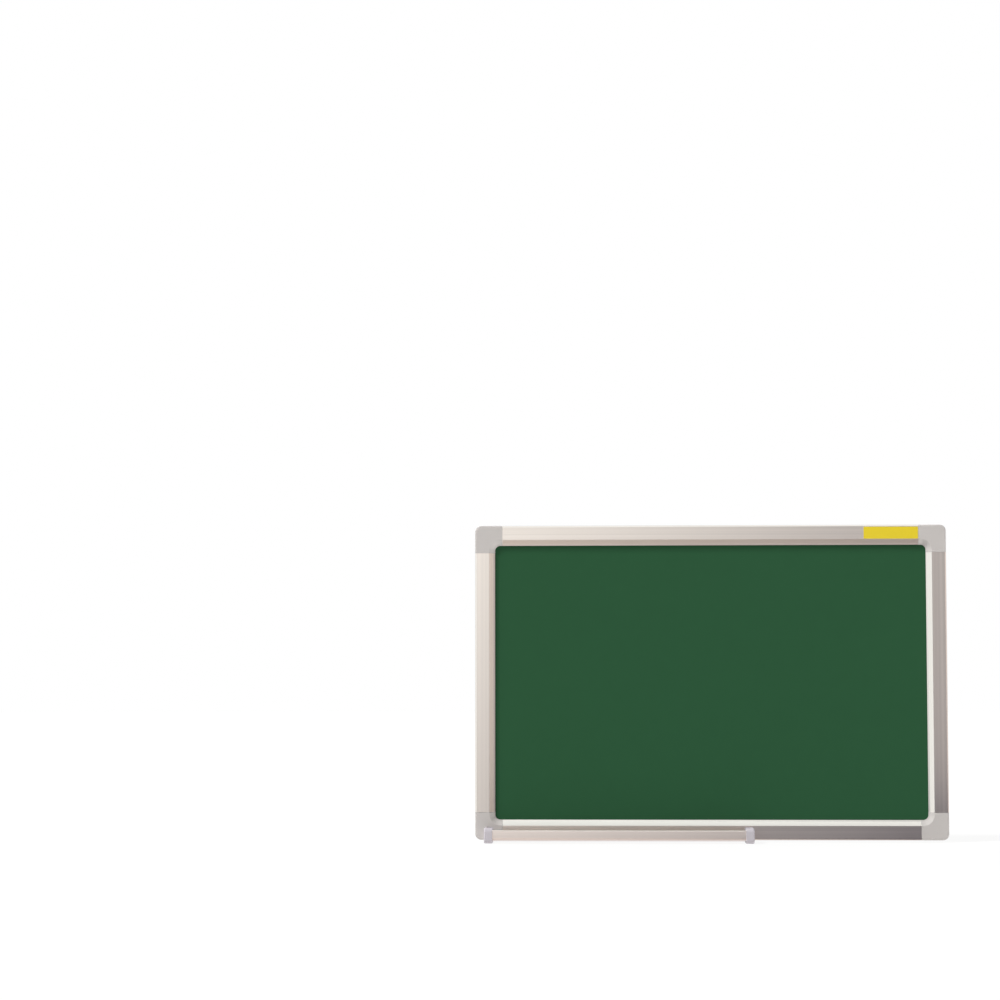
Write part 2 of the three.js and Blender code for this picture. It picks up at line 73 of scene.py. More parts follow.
# What the frame says about the board
FRAME_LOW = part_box("corner_bottom_left")[0]
FRAME_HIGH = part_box("corner_top_right")[1]
BOARD_WIDTH = FRAME_HIGH.x - FRAME_LOW.x
BOARD_HEIGHT = FRAME_HIGH.z - FRAME_LOW.z
RAIL_LOW, RAIL_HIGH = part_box("bottom_rail")
RAIL_WIDTH = RAIL_HIGH.z - RAIL_LOW.z
RAIL_DEPTH = -RAIL_LOW.y
SCREW_NODES = sorted(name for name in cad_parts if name.startswith("screw_"))

# How finely round shapes are made, where shading turns sharp, and how near points are joined
ARC_STEP = math.radians(7.5)
ROUND_STEPS = 48
SHARP_ANGLE = math.radians(32)
WELD = 0.0005 * MM

# How far a cutting body reaches past what it cuts, and how far a hollow breaks into the panel's channel
PAST = 1 * MM
BREAK_IN = 0.5 * MM


# Sizes and finishes that a user may change

def length(name, millimetres, description):
    """A length property with its default in millimetres."""
    return FloatProperty(name=name, description=description, default=millimetres * MM, unit="LENGTH")


def display(red, green, blue):
    """A colour from its 8-bit display values, as the linear values that a shader takes."""
    shares = [value / 255 for value in (red, green, blue)]
    linear = [s / 12.92 if s <= 0.04045 else ((s + 0.055) / 1.055) ** 2.4 for s in shares]
    return (*linear, 1.0)


def tint(name, colour, description):
    """A colour property with its default in 8-bit display values."""
    return FloatVectorProperty(
        name=name, description=description, default=display(*colour), size=4, subtype="COLOR", min=0, max=1
    )


def glow(name, light, description):
    """A colour of light as linear values, where 1 is white."""
    return FloatVectorProperty(
        name=name, description=description, default=light, subtype="COLOR", min=0, max=4
    )


def share(name, value, description):
    """A property from 0 to 1."""
    return FloatProperty(
        name=name, description=description, default=value, min=0, max=1, subtype="FACTOR"
    )


def amount(name, value, description):
    """A plain number property."""
    return FloatProperty(name=name, description=description, default=value)


def metres(name, value, description):
    """A length property with its default in metres."""
    return FloatProperty(name=name, description=description, default=value, unit="LENGTH")


def degrees(name, value, description):
    """An angle property with its default in degrees."""
    return FloatProperty(
        name=name, description=description, default=math.radians(value), subtype="ANGLE"
    )


class RailSizes(PropertyGroup):
    """The section of the aluminium rail, measured inward from the frame's edge and forward from the wall."""

    face: length("Face", 18.4, "Width of the flat front face")
    bevel: length("Bevel", 5, "Width of the slope between the face and the lip")
    drop: length("Lip drop", 5, "How far the lip's edge lies behind the face")
    rise: length("Lip rise", 0.7, "How far the lip slopes up to the foot of the bevel")
    wall: length("Wall", 1.4, "Wall of the face and of the outer side")
    bevel_wall: length("Bevel wall", 1.3, "Wall of the bevel and of the lip")
    back_wall: length("Back wall", 1.8, "Wall at the back, which the screws pass through")
    flange: length("Flange", 1.3, "Thickness of the flange behind the panel")
    flange_reach: length("Flange reach", 24, "Where the flange behind the panel ends")
    channel: length("Channel floor", 14, "Where the panel's channel ends")
    stop_wall: length("Channel wall", 1.2, "Wall between the channel and the chamber")
    outer_radius: length("Outer radius", 2.2, "Radius between the face and the outer side")
    crest_radius: length("Crest radius", 1.0, "Radius between the face and the bevel")
    chamfer: length("Back chamfer", 0.6, "Chamfer at the back of the outer side")
    edge: length("Edge", 0.25, "Radius of the section's small edges")
    groove: length("Groove", 10.1, "Middle of the tray's groove, from the wall")
    groove_mouth: length("Groove mouth", 3.0, "Width of the groove's mouth")
    groove_back: length("Groove back", 4.1, "How far the groove reaches behind its middle")
    groove_front: length("Groove front", 2.3, "How far the groove reaches in front of its middle")
    groove_depth: length("Groove depth", 3.0, "Depth of the groove behind the outer wall")
    groove_wall: length("Groove wall", 1.2, "Wall round the groove")


class CornerSizes(PropertyGroup):
    """The plastic corner moulding."""

    arm: length("Arm", 35, "Length of each arm along the frame's edge")
    outer_radius: length("Outer radius", 8, "Radius of the corner's outside")
    inner_radius: length("Inner radius", 6.5, "Radius between the two lips")
    end_radius: length("End radius", 0.35, "Radius of the arm's end at its seam with the rail")
    wall: length("Wall", 2.0, "Wall round the hollow and the keyhole's pocket")
    rib: length("End rib", 3.0, "Thickness of the rib that carries the spigot")
    groove_stop: length("Groove stop", 22.9, "Where the tray's groove ends, from the frame's corner")
    spigot: length("Spigot", 27, "Length of the spigot inside the rail")
    spigot_fit: length("Spigot fit", 0.3, "Clearance of the spigot in the rail")
    spigot_nose: length("Spigot nose", 2.0, "Length of the spigot's tapered nose")
    spigot_radius: length("Spigot radius", 0.5, "Radius of the nose's corners")
    spigot_wall: length("Spigot wall", 1.8, "Wall of the spigot's hollow end")
    key_head: length("Keyhole head", 7.2, "Diameter of the keyhole's round opening")
    key_slot: length("Keyhole slot", 4.0, "Width of the keyhole's slot")
    key_length: length("Keyhole length", 15, "Length between the slot's two ends")
    key_height: length("Keyhole height", 13.6, "Middle of the keyhole along its arm")
    key_plate: length("Keyhole plate", 2.0, "Thickness of the plate round the keyhole")
    pocket_front: length("Pocket front", 9.0, "Front of the pocket behind the keyhole")
    pocket_margin: length("Pocket margin", 0.9, "How far the pocket reaches past the slot")


class ScrewSizes(PropertyGroup):
    """The countersunk screw that holds a corner in its rail."""

    radius: length("Radius", 1.45, "Radius over the thread")
    core: length("Core radius", 1.1, "Radius under the thread")
    pitch: length("Pitch", 1.1, "Pitch of the thread")
    head_radius: length("Head radius", 2.8, "Radius of the countersunk head")
    head_height: length("Head height", 1.35, "Height of the countersunk head")
    sunk: length("Sunk", 0.15, "How far the head lies below the back")
    shaft: length("Length", 9.5, "Length from the back of the rail to the tip")
    point: length("Point", 2.0, "Length of the tapered end")
    tip: length("Tip radius", 0.6, "Radius of the blunt tip")
    fit: length("Fit", 0.2, "Radial clearance of the screw's hole")
    recess: length("Recess width", 0.7, "Width of one wing of the cross recess")
    recess_span: length("Recess span", 3.0, "Width over the whole cross recess")
    recess_depth: length("Recess depth", 0.9, "Depth of the cross recess")
    seed: IntProperty(name="Turn seed", description="Seed of the turn at which each screw stopped", default=4)


class TraySizes(PropertyGroup):
    """The chalk tray's extrusion."""

    wall: length("Wall", 1.2, "Thickness of the floor and of the lip")
    rise: length("Front rise", 1.6, "Height of the floor's front underside above the frame's lower edge")
    lip_top: length("Lip top", 14.2, "Height of the lip's rolled edge")
    bead: length("Bead", 1.4, "Radius of the rolled edge")
    bottom_radius: length("Bottom radius", 3.0, "Outer radius between the floor and the lip")
    bend_radius: length("Bend radius", 4.0, "Radius where the floor starts to rise")
    running: length("Running gap", 0.3, "Clearance of what slides on the rail")
    tail: length("Tail", 2.6, "Where the floor ends behind the hook")
    stem: length("Hook stem", 1.5, "Thickness of the hook's stem")
    barb: length("Hook barb", 2.6, "How far the barb reaches behind the stem")
    barb_height: length("Barb height", 1.5, "Height of the barb")
    edge: length("Edge", 0.25, "Radius of the section's small edges")


class CapSizes(PropertyGroup):
    """The plastic cap at each end of the tray."""

    end_wall: length("End wall", 2.4, "Thickness of the outer wall")
    rail_gap: length("Rail gap", 0.5, "Gap between the cap and the rail")
    rear_wall: length("Rear wall", 1.8, "Wall next to the rail")
    front_wall: length("Front wall", 3.8, "Wall round the tray's lip")
    floor: length("Floor", 1.4, "Floor of the pocket, on top of the tray's floor")
    fit: length("Fit", 0.2, "Clearance round the end of the tray")
    edge_radius: length("Edge radius", 1.8, "Radius round the outer wall")
    front_top_radius: length("Front top radius", 5.0, "Radius of the upper front corner")
    front_bottom_radius: length("Front bottom radius", 4.0, "Radius of the lower front corner")
    rear_radius: length("Rear radius", 1.5, "Radius of the rear corners inside the edge")
    rim: length("Rim", 0.35, "Radius of the open rim")
    pocket_radius: length("Pocket radius", 0.8, "Radius in the corners of the pocket")


class LabelSizes(PropertyGroup):
    """The plain sticker on the top rail."""

    corner_radius: length("Corner radius", 0.9, "Radius of the die-cut corners")
    edge: length("Edge", 0.05, "Radius of the film's edge")


class Finishes(PropertyGroup):
    """Colours and gloss."""

    aluminium: tint("Aluminium", (238, 223, 214), "Anodised aluminium of the rails")
    aluminium_roughness: share("Aluminium roughness", 0.34, "Gloss: rails")
    tray: tint("Tray aluminium", (246, 228, 219), "Anodised aluminium of the tray")
    tray_roughness: share("Tray roughness", 0.5, "Gloss: tray")
    corner: tint("Corner plastic", (189, 184, 181), "Moulded corners")
    corner_roughness: share("Corner plastic roughness", 0.5, "Gloss: moulded corners")
    cap: tint("Cap plastic", (190, 184, 190), "Moulded tray caps")
    cap_roughness: share("Cap plastic roughness", 0.46, "Gloss: moulded tray caps")
    enamel: tint("Chalk enamel", (42, 81, 54), "Matt green writing face")
    enamel_roughness: share("Chalk enamel roughness", 0.72, "Gloss: matt green writing face")
    fibreboard: tint("Fibreboard", (156, 123, 86), "Core of the panel")
    fibreboard_roughness: share("Fibreboard roughness", 0.92, "Gloss: core of the panel")
    zinc: tint("Galvanised sheet", (190, 188, 184), "Backing sheet")
    zinc_roughness: share("Galvanised sheet roughness", 0.38, "Gloss: backing sheet")
    screw: tint("Zinc plate", (212, 206, 198), "Screws")
    screw_roughness: share("Zinc plate roughness", 0.3, "Gloss: screws")
    sticker: tint("Sticker", (220, 196, 34), "Plain sticker")
    sticker_roughness: share("Sticker roughness", 0.42, "Gloss: plain sticker")


class Studio(PropertyGroup):
    """Floor, lamps, background and camera."""

    key_power: amount("Key power", 3.88, "Strength of the key lamp")
    key_angle: degrees("Key size", 12, "Angle that the key lamp fills")
    fill_power: amount("Fill power", 2.3, "Strength of the low fill lamp")
    fill_angle: degrees("Fill size", 40, "Angle that the fill lamp fills")
    ambient: amount("Ambient", 0.2, "Light from all round")
    back_light: amount("Back light", 1.8, "Extra light from behind the board")
    sheen_key: glow("Sheen, key side", (1.13, 1.31, 1.36), "What metal mirrors from the key side")
    sheen_front: glow("Sheen, front", (1.23, 1.25, 1.22), "What metal mirrors from straight ahead")
    sheen_far: glow("Sheen, far side", (0.785, 0.745, 0.71), "What metal mirrors from the far side")
    sheen_back: glow("Sheen, back", (0.84, 0.92, 0.97), "What metal mirrors from behind the board")
    floor_tint: tint("Floor", (205, 204, 202), "Pale floor")
    floor_white: share("Floor white", 0.84, "Share of the plain background colour in the floor")
    card_distance: metres("Card distance", 1.3, "How far the dark card stands before the board")
    card_clear: metres("Card clear", -0.46, "Where the card begins, along its diagonal")
    card_dark: metres("Card dark", 0.74, "Where the card is dark, along its diagonal")
    card_reach: metres("Card reach", 1.1, "Half the width of the card and of the flag")
    card_drop: metres("Card drop", -0.8, "Lower edge of the card")
    flag_distance: metres("Flag distance", 0.35, "How far the low dark flag stands before the board")
    flag_top: metres("Flag top", -0.17, "Upper edge of the flag")
    flag_drop: metres("Flag drop", -1.1, "Lower edge of the flag")
    flag_dark: amount("Flag dark", 0.38, "How dark the flag is in its middle")
    flag_slope: amount("Flag slope", 1.6, "How fast the flag darkens to the right")


class Chalkboard(PropertyGroup):
    """All the settings of the chalkboard."""

    rail: PointerProperty(type=RailSizes)
    corner: PointerProperty(type=CornerSizes)
    screw: PointerProperty(type=ScrewSizes)
    tray: PointerProperty(type=TraySizes)
    cap: PointerProperty(type=CapSizes)
    label: PointerProperty(type=LabelSizes)
    finishes: PointerProperty(type=Finishes)
    studio: PointerProperty(type=Studio)


# Node trees

class Value:
    """A number socket, so that Python expressions on it add Math nodes."""

    def __init__(self, graph, socket):
        self.graph = graph
        self.socket = socket

    def __add__(self, other):
        return self.graph.math("ADD", self, other)

    def __sub__(self, other):
        return self.graph.math("SUBTRACT", self, other)

    def __rsub__(self, other):
        return self.graph.math("SUBTRACT", other, self)

    def __mul__(self, other):
        return self.graph.math("MULTIPLY", self, other)

    __radd__ = __add__
    __rmul__ = __mul__


class Graph:
    """A node tree that is being filled."""

    def __init__(self, tree):
        self.tree = tree
        tree.nodes.clear()

    def node(self, kind, settings=None, sockets=None):
        """Adds a node: its settings are made first, then its sockets get their values or links."""
        made = self.tree.nodes.new(kind)
        for name, value in (settings or {}).items():
            if name == "stops":
                self.set_stops(made.color_ramp, value)
            else:
                setattr(made, name, value)
        for key, value in (sockets or {}).items():
            for part in value if isinstance(value, list) else [value]:
                self.feed(made.inputs[key], part)
        return made

    def feed(self, socket, value):
        """Links a Value, another socket or a node's first output, or sets a plain value."""
        if isinstance(value, Value):
            value = value.socket
        elif isinstance(value, bpy.types.Node):
            value = value.outputs[0]
        if isinstance(value, bpy.types.NodeSocket):
            self.tree.links.new(value, socket)
        else:
            socket.default_value = value

    def set_stops(self, ramp, stops):
        """Gives a ramp its stops, each a position with a grey or a colour."""
        while len(ramp.elements) < len(stops):
            ramp.elements.new(1.0)
        for element, (position, level) in zip(ramp.elements, stops):
            element.position = position
            element.color = (*level, 1.0) if hasattr(level, "__len__") else (level, level, level, 1.0)

    def value(self, kind, settings, sockets, output=0):
        """Adds a node and gives one of its outputs as a Value."""
        return Value(self, self.node(kind, settings, sockets).outputs[output])

    def math(self, operation, first, second):
        return self.value("ShaderNodeMath", {"operation": operation}, {0: first, 1: second})

    def dot(self, vector, direction):
        """How far a vector goes along a direction."""
        product = {"operation": "DOT_PRODUCT"}
        return self.value("ShaderNodeVectorMath", product, {0: vector, 1: direction}, "Value")

    def part(self, vector, axis):
        """One coordinate of a vector."""
        return self.value("ShaderNodeSeparateXYZ", None, {"Vector": vector}, axis)

    def place(self, kind="Object"):
        """Texture coordinates."""
        return self.node("ShaderNodeTexCoord").outputs[kind]

    def object_place(self, scale=(1, 1, 1)):
        """Object coordinates, stretched by a scale for each axis."""
        return self.node("ShaderNodeMapping", None, {"Vector": self.place(), "Scale": scale})

    def noise(self, stretch, scale=1.0, detail=2.0, roughness=0.5):
        """Noise from 0 to 1, with 0.5 as its middle, on stretched object coordinates."""
        place = self.object_place(stretch)
        sockets = {"Vector": place, "Scale": scale, "Detail": detail, "Roughness": roughness}
        return self.value("ShaderNodeTexNoise", None, sockets)

    def ramp(self, value, *stops):
        return self.value("ShaderNodeValToRGB", {"stops": stops}, {"Fac": value})

    def blend(self, factor, first, second):
        """A colour between two colours."""
        made = self.node("ShaderNodeMix", {"data_type": "RGBA"}, {0: factor, 6: first, 7: second})
        return made.outputs[2]

    def shades(self, factor, colour, low, high):
        """A colour that goes from one share of itself to another."""
        return self.blend(factor, shaded(colour, low), shaded(colour, high))

    def bump(self, height, distance, strength):
        sockets = {"Height": height, "Distance": distance, "Strength": strength}
        return self.node("ShaderNodeBump", None, sockets)

    def mixed(self, factor, first, second):
        """A shader between two shaders."""
        return self.node("ShaderNodeMixShader", None, {0: factor, 1: first, 2: second})


def shaded(colour, factor):
    """A colour made lighter or darker by a factor."""
    return (*[min(1.0, channel * factor) for channel in colour[:3]], 1.0)


def swing(noise, size):
    """A noise's swing about its middle."""
    return (noise - 0.5) * size


def new_surface(name, shader, *about):
    """A material with the shader that a function makes."""
    material = bpy.data.materials.new(name)
    material.use_nodes = True
    graph = Graph(material.node_tree)
    graph.node("ShaderNodeOutputMaterial", None, {"Surface": shader(graph, *about)})
    return material


def principled(graph, look, *about):
    """A Principled shader with the inputs that a look gives."""
    return graph.node("ShaderNodeBsdfPrincipled", None, look(graph, *about))


def new_finish(name, look, *about):
    """A material for the object, from one of the looks below."""
    material = new_surface(name, principled, look, *about)
    material.diffuse_color = PREVIEW_GREY
    return material


# Looks of the object's finishes, whose pattern scales are repeats per metre

PREVIEW_GREY = (0.6, 0.6, 0.6, 1.0)
EVEN = (1, 1, 1)
LINE_LENGTH = 0.6
BAND_SCALE = 190.0
STREAK_SCALE = 430.0
LINE_SCALE = 1500.0
MOULD_GRAIN_SCALE = 1900.0
TOOTH_SCALE = 2600.0
MOTTLE_SCALE = 60.0
FLECK_SCALE = 260.0
FIBRE_STRETCH = (420, 1500, 420)
SPANGLE_SCALE = 170.0
SPANGLE_WOBBLE_SCALE = 90.0
DULL_SCALE = 700.0
SCUFF_SCALE = 2600.0
FILM_SCALE = 1300.0
FILM_STRETCH = (45, 45, 90)

# The middle of a noise's range, stretched over the whole range from dark to light
SHARPEN = ((0.35, 0.0), (0.65, 1.0))


def slow(scale):
    """The stretch of a slow, even cloud."""
    return (scale, scale, scale)


def drawn(axis, across):
    """The stretch of lines that run along one axis, as an extrusion's do."""
    return tuple(LINE_LENGTH if i == axis else across for i in range(3))


def anodised(graph, colour, roughness, axis):
    """Satin anodised aluminium with die lines along an axis."""
    streaks = graph.noise(drawn(axis, STREAK_SCALE), detail=3.0)
    lines = graph.noise(drawn(axis, LINE_SCALE), roughness=0.6)
    cloud = graph.noise(slow(9), detail=3.0)
    bands = graph.noise(drawn(axis, BAND_SCALE), detail=1.0)
    tone = graph.ramp(streaks * 0.4 + bands * 0.4 + lines * 0.2, *SHARPEN)
    return {
        "Base Color": graph.shades(tone, colour, low=0.89, high=1.05),
        "Metallic": 1.0,
        "Roughness": swing(lines, 0.16) + swing(cloud, 0.06) + swing(streaks, 0.10) + roughness,
        "Normal": graph.bump(lines * 0.4 + streaks, distance=0.06 * MM, strength=0.6),
    }


def moulded(graph, colour, roughness):
    """Injection-moulded plastic with a fine spark-eroded texture."""
    grain = graph.noise(EVEN, MOULD_GRAIN_SCALE, detail=3.0, roughness=0.6)
    flow = graph.noise(slow(30))
    return {
        "Base Color": graph.shades(flow, colour, low=0.965, high=1.03),
        "Roughness": swing(grain, 0.12) + swing(flow, 0.06) + roughness,
        "Specular IOR Level": 0.42,
        "Normal": graph.bump(grain, distance=0.03 * MM, strength=0.5),
    }


def chalk_enamel(graph, colour, roughness):
    """Matt enamel with the fine tooth that takes chalk."""
    tooth = graph.noise(EVEN, TOOTH_SCALE, roughness=0.65)
    cloud = graph.noise(slow(4), detail=3.0)
    mottle = graph.noise(EVEN, MOTTLE_SCALE, detail=4.0, roughness=0.6)
    return {
        "Base Color": graph.shades(cloud * 0.5 + mottle * 0.5, colour, low=0.93, high=1.07),
        "Roughness": swing(tooth, 0.14) + swing(mottle, 0.08) + roughness,
        "Specular IOR Level": 0.06,
        "Normal": graph.bump(tooth, distance=0.04 * MM, strength=0.5),
    }


def pressed_fibre(graph, colour, roughness):
    """Soft fibreboard with short fibres."""
    fibres = graph.noise(FIBRE_STRETCH, detail=5.0, roughness=0.7)
    flecks = graph.noise(EVEN, FLECK_SCALE, detail=4.0, roughness=0.75)
    tone = graph.ramp(fibres * 0.6 + flecks * 0.4, *SHARPEN)
    return {
        "Base Color": graph.shades(tone, colour, low=0.72, high=1.18),
        "Roughness": roughness,
        "Specular IOR Level": 0.2,
        "Normal": graph.bump(fibres, distance=0.3 * MM, strength=0.7),
    }


def spangled_zinc(graph, colour, roughness):
    """Galvanised sheet with a soft spangle."""
    wobble = graph.noise(EVEN, SPANGLE_WOBBLE_SCALE)
    sockets = {"Vector": graph.object_place(), "Scale": SPANGLE_SCALE}
    cells = graph.node("ShaderNodeTexVoronoi", None, sockets).outputs["Color"]
    crystal = graph.value("ShaderNodeSeparateColor", None, {"Color": cells})
    haze = graph.noise(slow(6), detail=4.0)
    return {
        "Base Color": graph.shades(crystal * 0.5 + wobble * 0.2 + haze * 0.3, colour, low=0.87, high=1.08),
        "Metallic": 1.0,
        "Roughness": crystal * 0.12 + swing(haze, 0.1) + roughness,
        "Normal": graph.bump(crystal * 0.5 + wobble * 0.5, distance=0.08 * MM, strength=0.35),
    }


def zinc_plate(graph, colour, roughness):
    """Bright zinc plate on a screw, a little dull in places."""
    dull = graph.noise(EVEN, DULL_SCALE, detail=3.0)
    scuffs = graph.noise(EVEN, SCUFF_SCALE, roughness=0.7)
    return {
        "Base Color": graph.shades(dull, colour, low=0.84, high=1.06),
        "Metallic": 1.0,
        "Roughness": swing(dull, 0.2) + roughness,
        "Normal": graph.bump(scuffs, distance=0.02 * MM, strength=0.5),
    }


def printed_film(graph, colour, roughness):
    """Yellow sticker film under a thin clear coat."""
    fibre = graph.noise(EVEN, FILM_SCALE, detail=3.0)
    ripple = graph.noise(FILM_STRETCH)
    return {
        "Base Color": graph.shades(fibre * 0.4 + ripple * 0.6, colour, low=0.94, high=1.05),
        "Roughness": swing(ripple, 0.12) + roughness,
        "Coat Weight": 0.15,
        "Coat Roughness": 0.2,
        "Normal": graph.bump(ripple, distance=0.2 * MM, strength=0.25),
    }


# Meshes

def rounded(corners):
    """Points of a closed outline of (x, y) or (x, y, radius) corners, with an arc at each radius."""
    points = []
    count = len(corners)
    for i, (x, y, *radius) in enumerate(corners):
        here = Vector((x, y))
        if not radius or radius[0] <= 0:
            points.append(here)
            continue
        to_before = (Vector(corners[i - 1][:2]) - here).normalized()
        to_after = (Vector(corners[(i + 1) % count][:2]) - here).normalized()
        half = to_before.angle(to_after) / 2
        centre = here + (to_before + to_after).normalized() * (radius[0] / math.sin(half))
        start = here + to_before * (radius[0] / math.tan(half)) - centre
        turn = math.pi - 2 * half
        side = 1 if to_before.x * to_after.y > to_before.y * to_after.x else -1
        steps = max(2, round(turn / ARC_STEP))
        for k in range(steps + 1):
            points.append(centre + Matrix.Rotation(-side * turn * k / steps, 2) @ start)
    return points


def new_object(name, mesh):
    made = bpy.data.objects.new(name, mesh)
    bpy.context.scene.collection.objects.link(made)
    return made


def object_from(name, points, faces):
    """A mesh object of points and faces, with its faces turned outwards."""
    mesh = bpy.data.meshes.new(name)
    mesh.from_pydata([tuple(point) for point in points], [], faces)
    work = bmesh.new()
    work.from_mesh(mesh)
    bmesh.ops.remove_doubles(work, verts=work.verts, dist=WELD)
    bmesh.ops.recalc_face_normals(work, faces=work.faces)
    work.to_mesh(mesh)
    work.free()
    return new_object(name, mesh)


def stacked(name, layers):
    """A closed body through layers of points that have the same count."""
    count = len(layers[0])
    points = [point for layer in layers for point in layer]
    faces = []
    for k in range(len(layers) - 1):
        for i in range(count):
            a = k * count + i
            b = k * count + (i + 1) % count
            faces.append((a, b, b + count, a + count))
    faces.append(tuple(reversed(range(count))))
    faces.append(tuple(range(len(points) - count, len(points))))
    return object_from(name, points, faces)


def prism(name, outline, low, high):
    """An outline in x and y, drawn out along z."""
    return stacked(name, [[Vector((p.x, p.y, z)) for p in outline] for z in (low, high)])


def rectangle(x, y, radii=(0, 0, 0, 0)):
    """An outline with a range for each axis and a radius for each corner."""
    corners = ((x[0], y[0]), (x[1], y[0]), (x[1], y[1]), (x[0], y[1]))
    return rounded([(*corner, radius) for corner, radius in zip(corners, radii)])


def block(name, x, y, z):
    """A plain cutting block with a range for each axis."""
    return prism(name, rectangle(x, y), *z)


def ring(radius, y, steps=ROUND_STEPS):
    """Points round the y axis, at a radius that may be a function of the share of the turn."""
    points = []
    for i in range(steps):
        share_of_turn = i / steps
        reach = radius(share_of_turn) if callable(radius) else radius
        turn = 2 * math.pi * share_of_turn
        points.append(Vector((reach * math.cos(turn), y, reach * math.sin(turn))))
    return points


def revolved(name, profile):
    """A closed body of rings (radius, y) turned round the y axis."""
    return stacked(name, [ring(radius, y) for radius, y in profile])


def baked(source):
    """The mesh of an object with its modifiers applied."""
    depsgraph = bpy.context.evaluated_depsgraph_get()
    depsgraph.update()
    return bpy.data.meshes.new_from_object(source.evaluated_get(depsgraph))


def drop(*objects):
    for item in objects:
        data = item.data
        bpy.data.objects.remove(item)
        if isinstance(data, bpy.types.Mesh):
            bpy.data.meshes.remove(data)
        else:
            bpy.data.curves.remove(data)


def combined(body, tools, operation):
    """A body after a boolean with each tool. The tools are used up."""
    for tool in tools:
        modifier = body.modifiers.new("boolean", "BOOLEAN")
        modifier.operation = operation
        modifier.solver = "EXACT"
        modifier.object = tool
    mesh = baked(body)
    name = body.name
    drop(body, *tools)
    return new_object(name, mesh)


def moved(source, matrix):
    """An object's mesh put through a matrix, with its faces turned back after a mirroring one."""
    source.data.transform(matrix)
    if matrix.determinant() < 0:
        source.data.flip_normals()
    source.data.update()
    return source


def copied(source, name, matrix):
    return moved(new_object(name, source.data.copy()), matrix)


def smooth_edges(piece):
    """Smooth shading over the round edges, with the wide flat faces kept flat."""
    mesh = piece.data
    mesh.polygons.foreach_set("use_smooth", [True] * len(mesh.polygons))
    mesh.set_sharp_from_angle(angle=SHARP_ANGLE)
    modifier = piece.modifiers.new("weighted normals", "WEIGHTED_NORMAL")
    modifier.keep_sharp = True
    modifier.weight = 100
    smooth = baked(piece)
    piece.modifiers.clear()
    piece.data = smooth
    bpy.data.meshes.remove(mesh)
    smooth.name = piece.name


def dress(piece, material, body, slot, *nodes):
    """Smooths a piece, gives it its material, and puts it on its body in place of CAD nodes."""
    smooth_edges(piece)
    piece.data.materials.clear()
    piece.data.materials.append(material)
    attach(piece, body)
    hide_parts(*nodes)


# Geometry Nodes

def new_tree(name, inputs):
    """A geometry tree with inputs of named kinds, as its graph and its input sockets."""
    tree = bpy.data.node_groups.new(name, "GeometryNodeTree")
    tree.interface.new_socket(name="Geometry", in_out="INPUT", socket_type="NodeSocketGeometry")
    for title, kind in inputs.items():
        tree.interface.new_socket(name=title, in_out="INPUT", socket_type=f"NodeSocket{kind}")
    tree.interface.new_socket(name="Geometry", in_out="OUTPUT", socket_type="NodeSocketGeometry")
    graph = Graph(tree)
    return graph, graph.node("NodeGroupInput").outputs


def close_tree(graph, geometry, material):
    """Ends a geometry tree with real geometry that has its material."""
    real = graph.node("GeometryNodeRealizeInstances", None, {"Geometry": geometry})
    painted = graph.node("GeometryNodeSetMaterial", None, {"Geometry": real, "Material": material})
    graph.node("NodeGroupOutput", None, {"Geometry": painted})
    return graph.tree


def grown(name, tree, values, source=None):
    """A plain mesh object made by a geometry tree with the given inputs."""
    carrier = source or new_object(name, bpy.data.meshes.new(name))
    modifier = carrier.modifiers.new("shape", "NODES")
    modifier.node_group = tree
    for item in tree.interface.items_tree:
        if item.in_out == "INPUT" and item.name in values:
            modifier[item.identifier] = values[item.name]
    carrier.update_tag()
    mesh = baked(carrier)
    drop(carrier)
    mesh.name = name
    return new_object(name, mesh)


def section_curve(name, outlines):
    """A curve object with one closed spline for each outline of a section."""
    curve = bpy.data.curves.new(name, "CURVE")
    curve.dimensions = "2D"
    curve.fill_mode = "NONE"
    for outline in outlines:
        spline = curve.splines.new("POLY")
        spline.points.add(len(outline) - 1)
        for point, place in zip(spline.points, outline):
            point.co = (place.x, place.y, 0, 1)
        spline.use_cyclic_u = True
    return new_object(name, curve)


def shape_of(graph, given):
    """The geometry of an object that is given to a tree."""
    return graph.node("GeometryNodeObjectInfo", None, {"Object": given}).outputs["Geometry"]


def add_extrusion(graph, section, reach):
    """Nodes that draw a section out along z, with its middle at the origin."""
    curve = shape_of(graph, section)
    flat = graph.node("GeometryNodeFillCurve", {"mode": "TRIANGLES"}, {"Curve": curve})
    sockets = {"Mesh": flat, "Offset Scale": reach, "Individual": False}
    walls = graph.node("GeometryNodeExtrudeMesh", {"mode": "FACES"}, sockets).outputs["Mesh"]
    start = graph.node("GeometryNodeFlipFaces", None, {"Mesh": flat})
    both = graph.node("GeometryNodeJoinGeometry", None, {0: [walls, start]})
    closed = graph.node("GeometryNodeMergeByDistance", None, {"Geometry": both, "Distance": WELD})
    back = graph.node("ShaderNodeCombineXYZ", None, {"Z": Value(graph, reach) * -0.5})
    return graph.node("GeometryNodeTransform", None, {"Geometry": closed, "Translation": back})


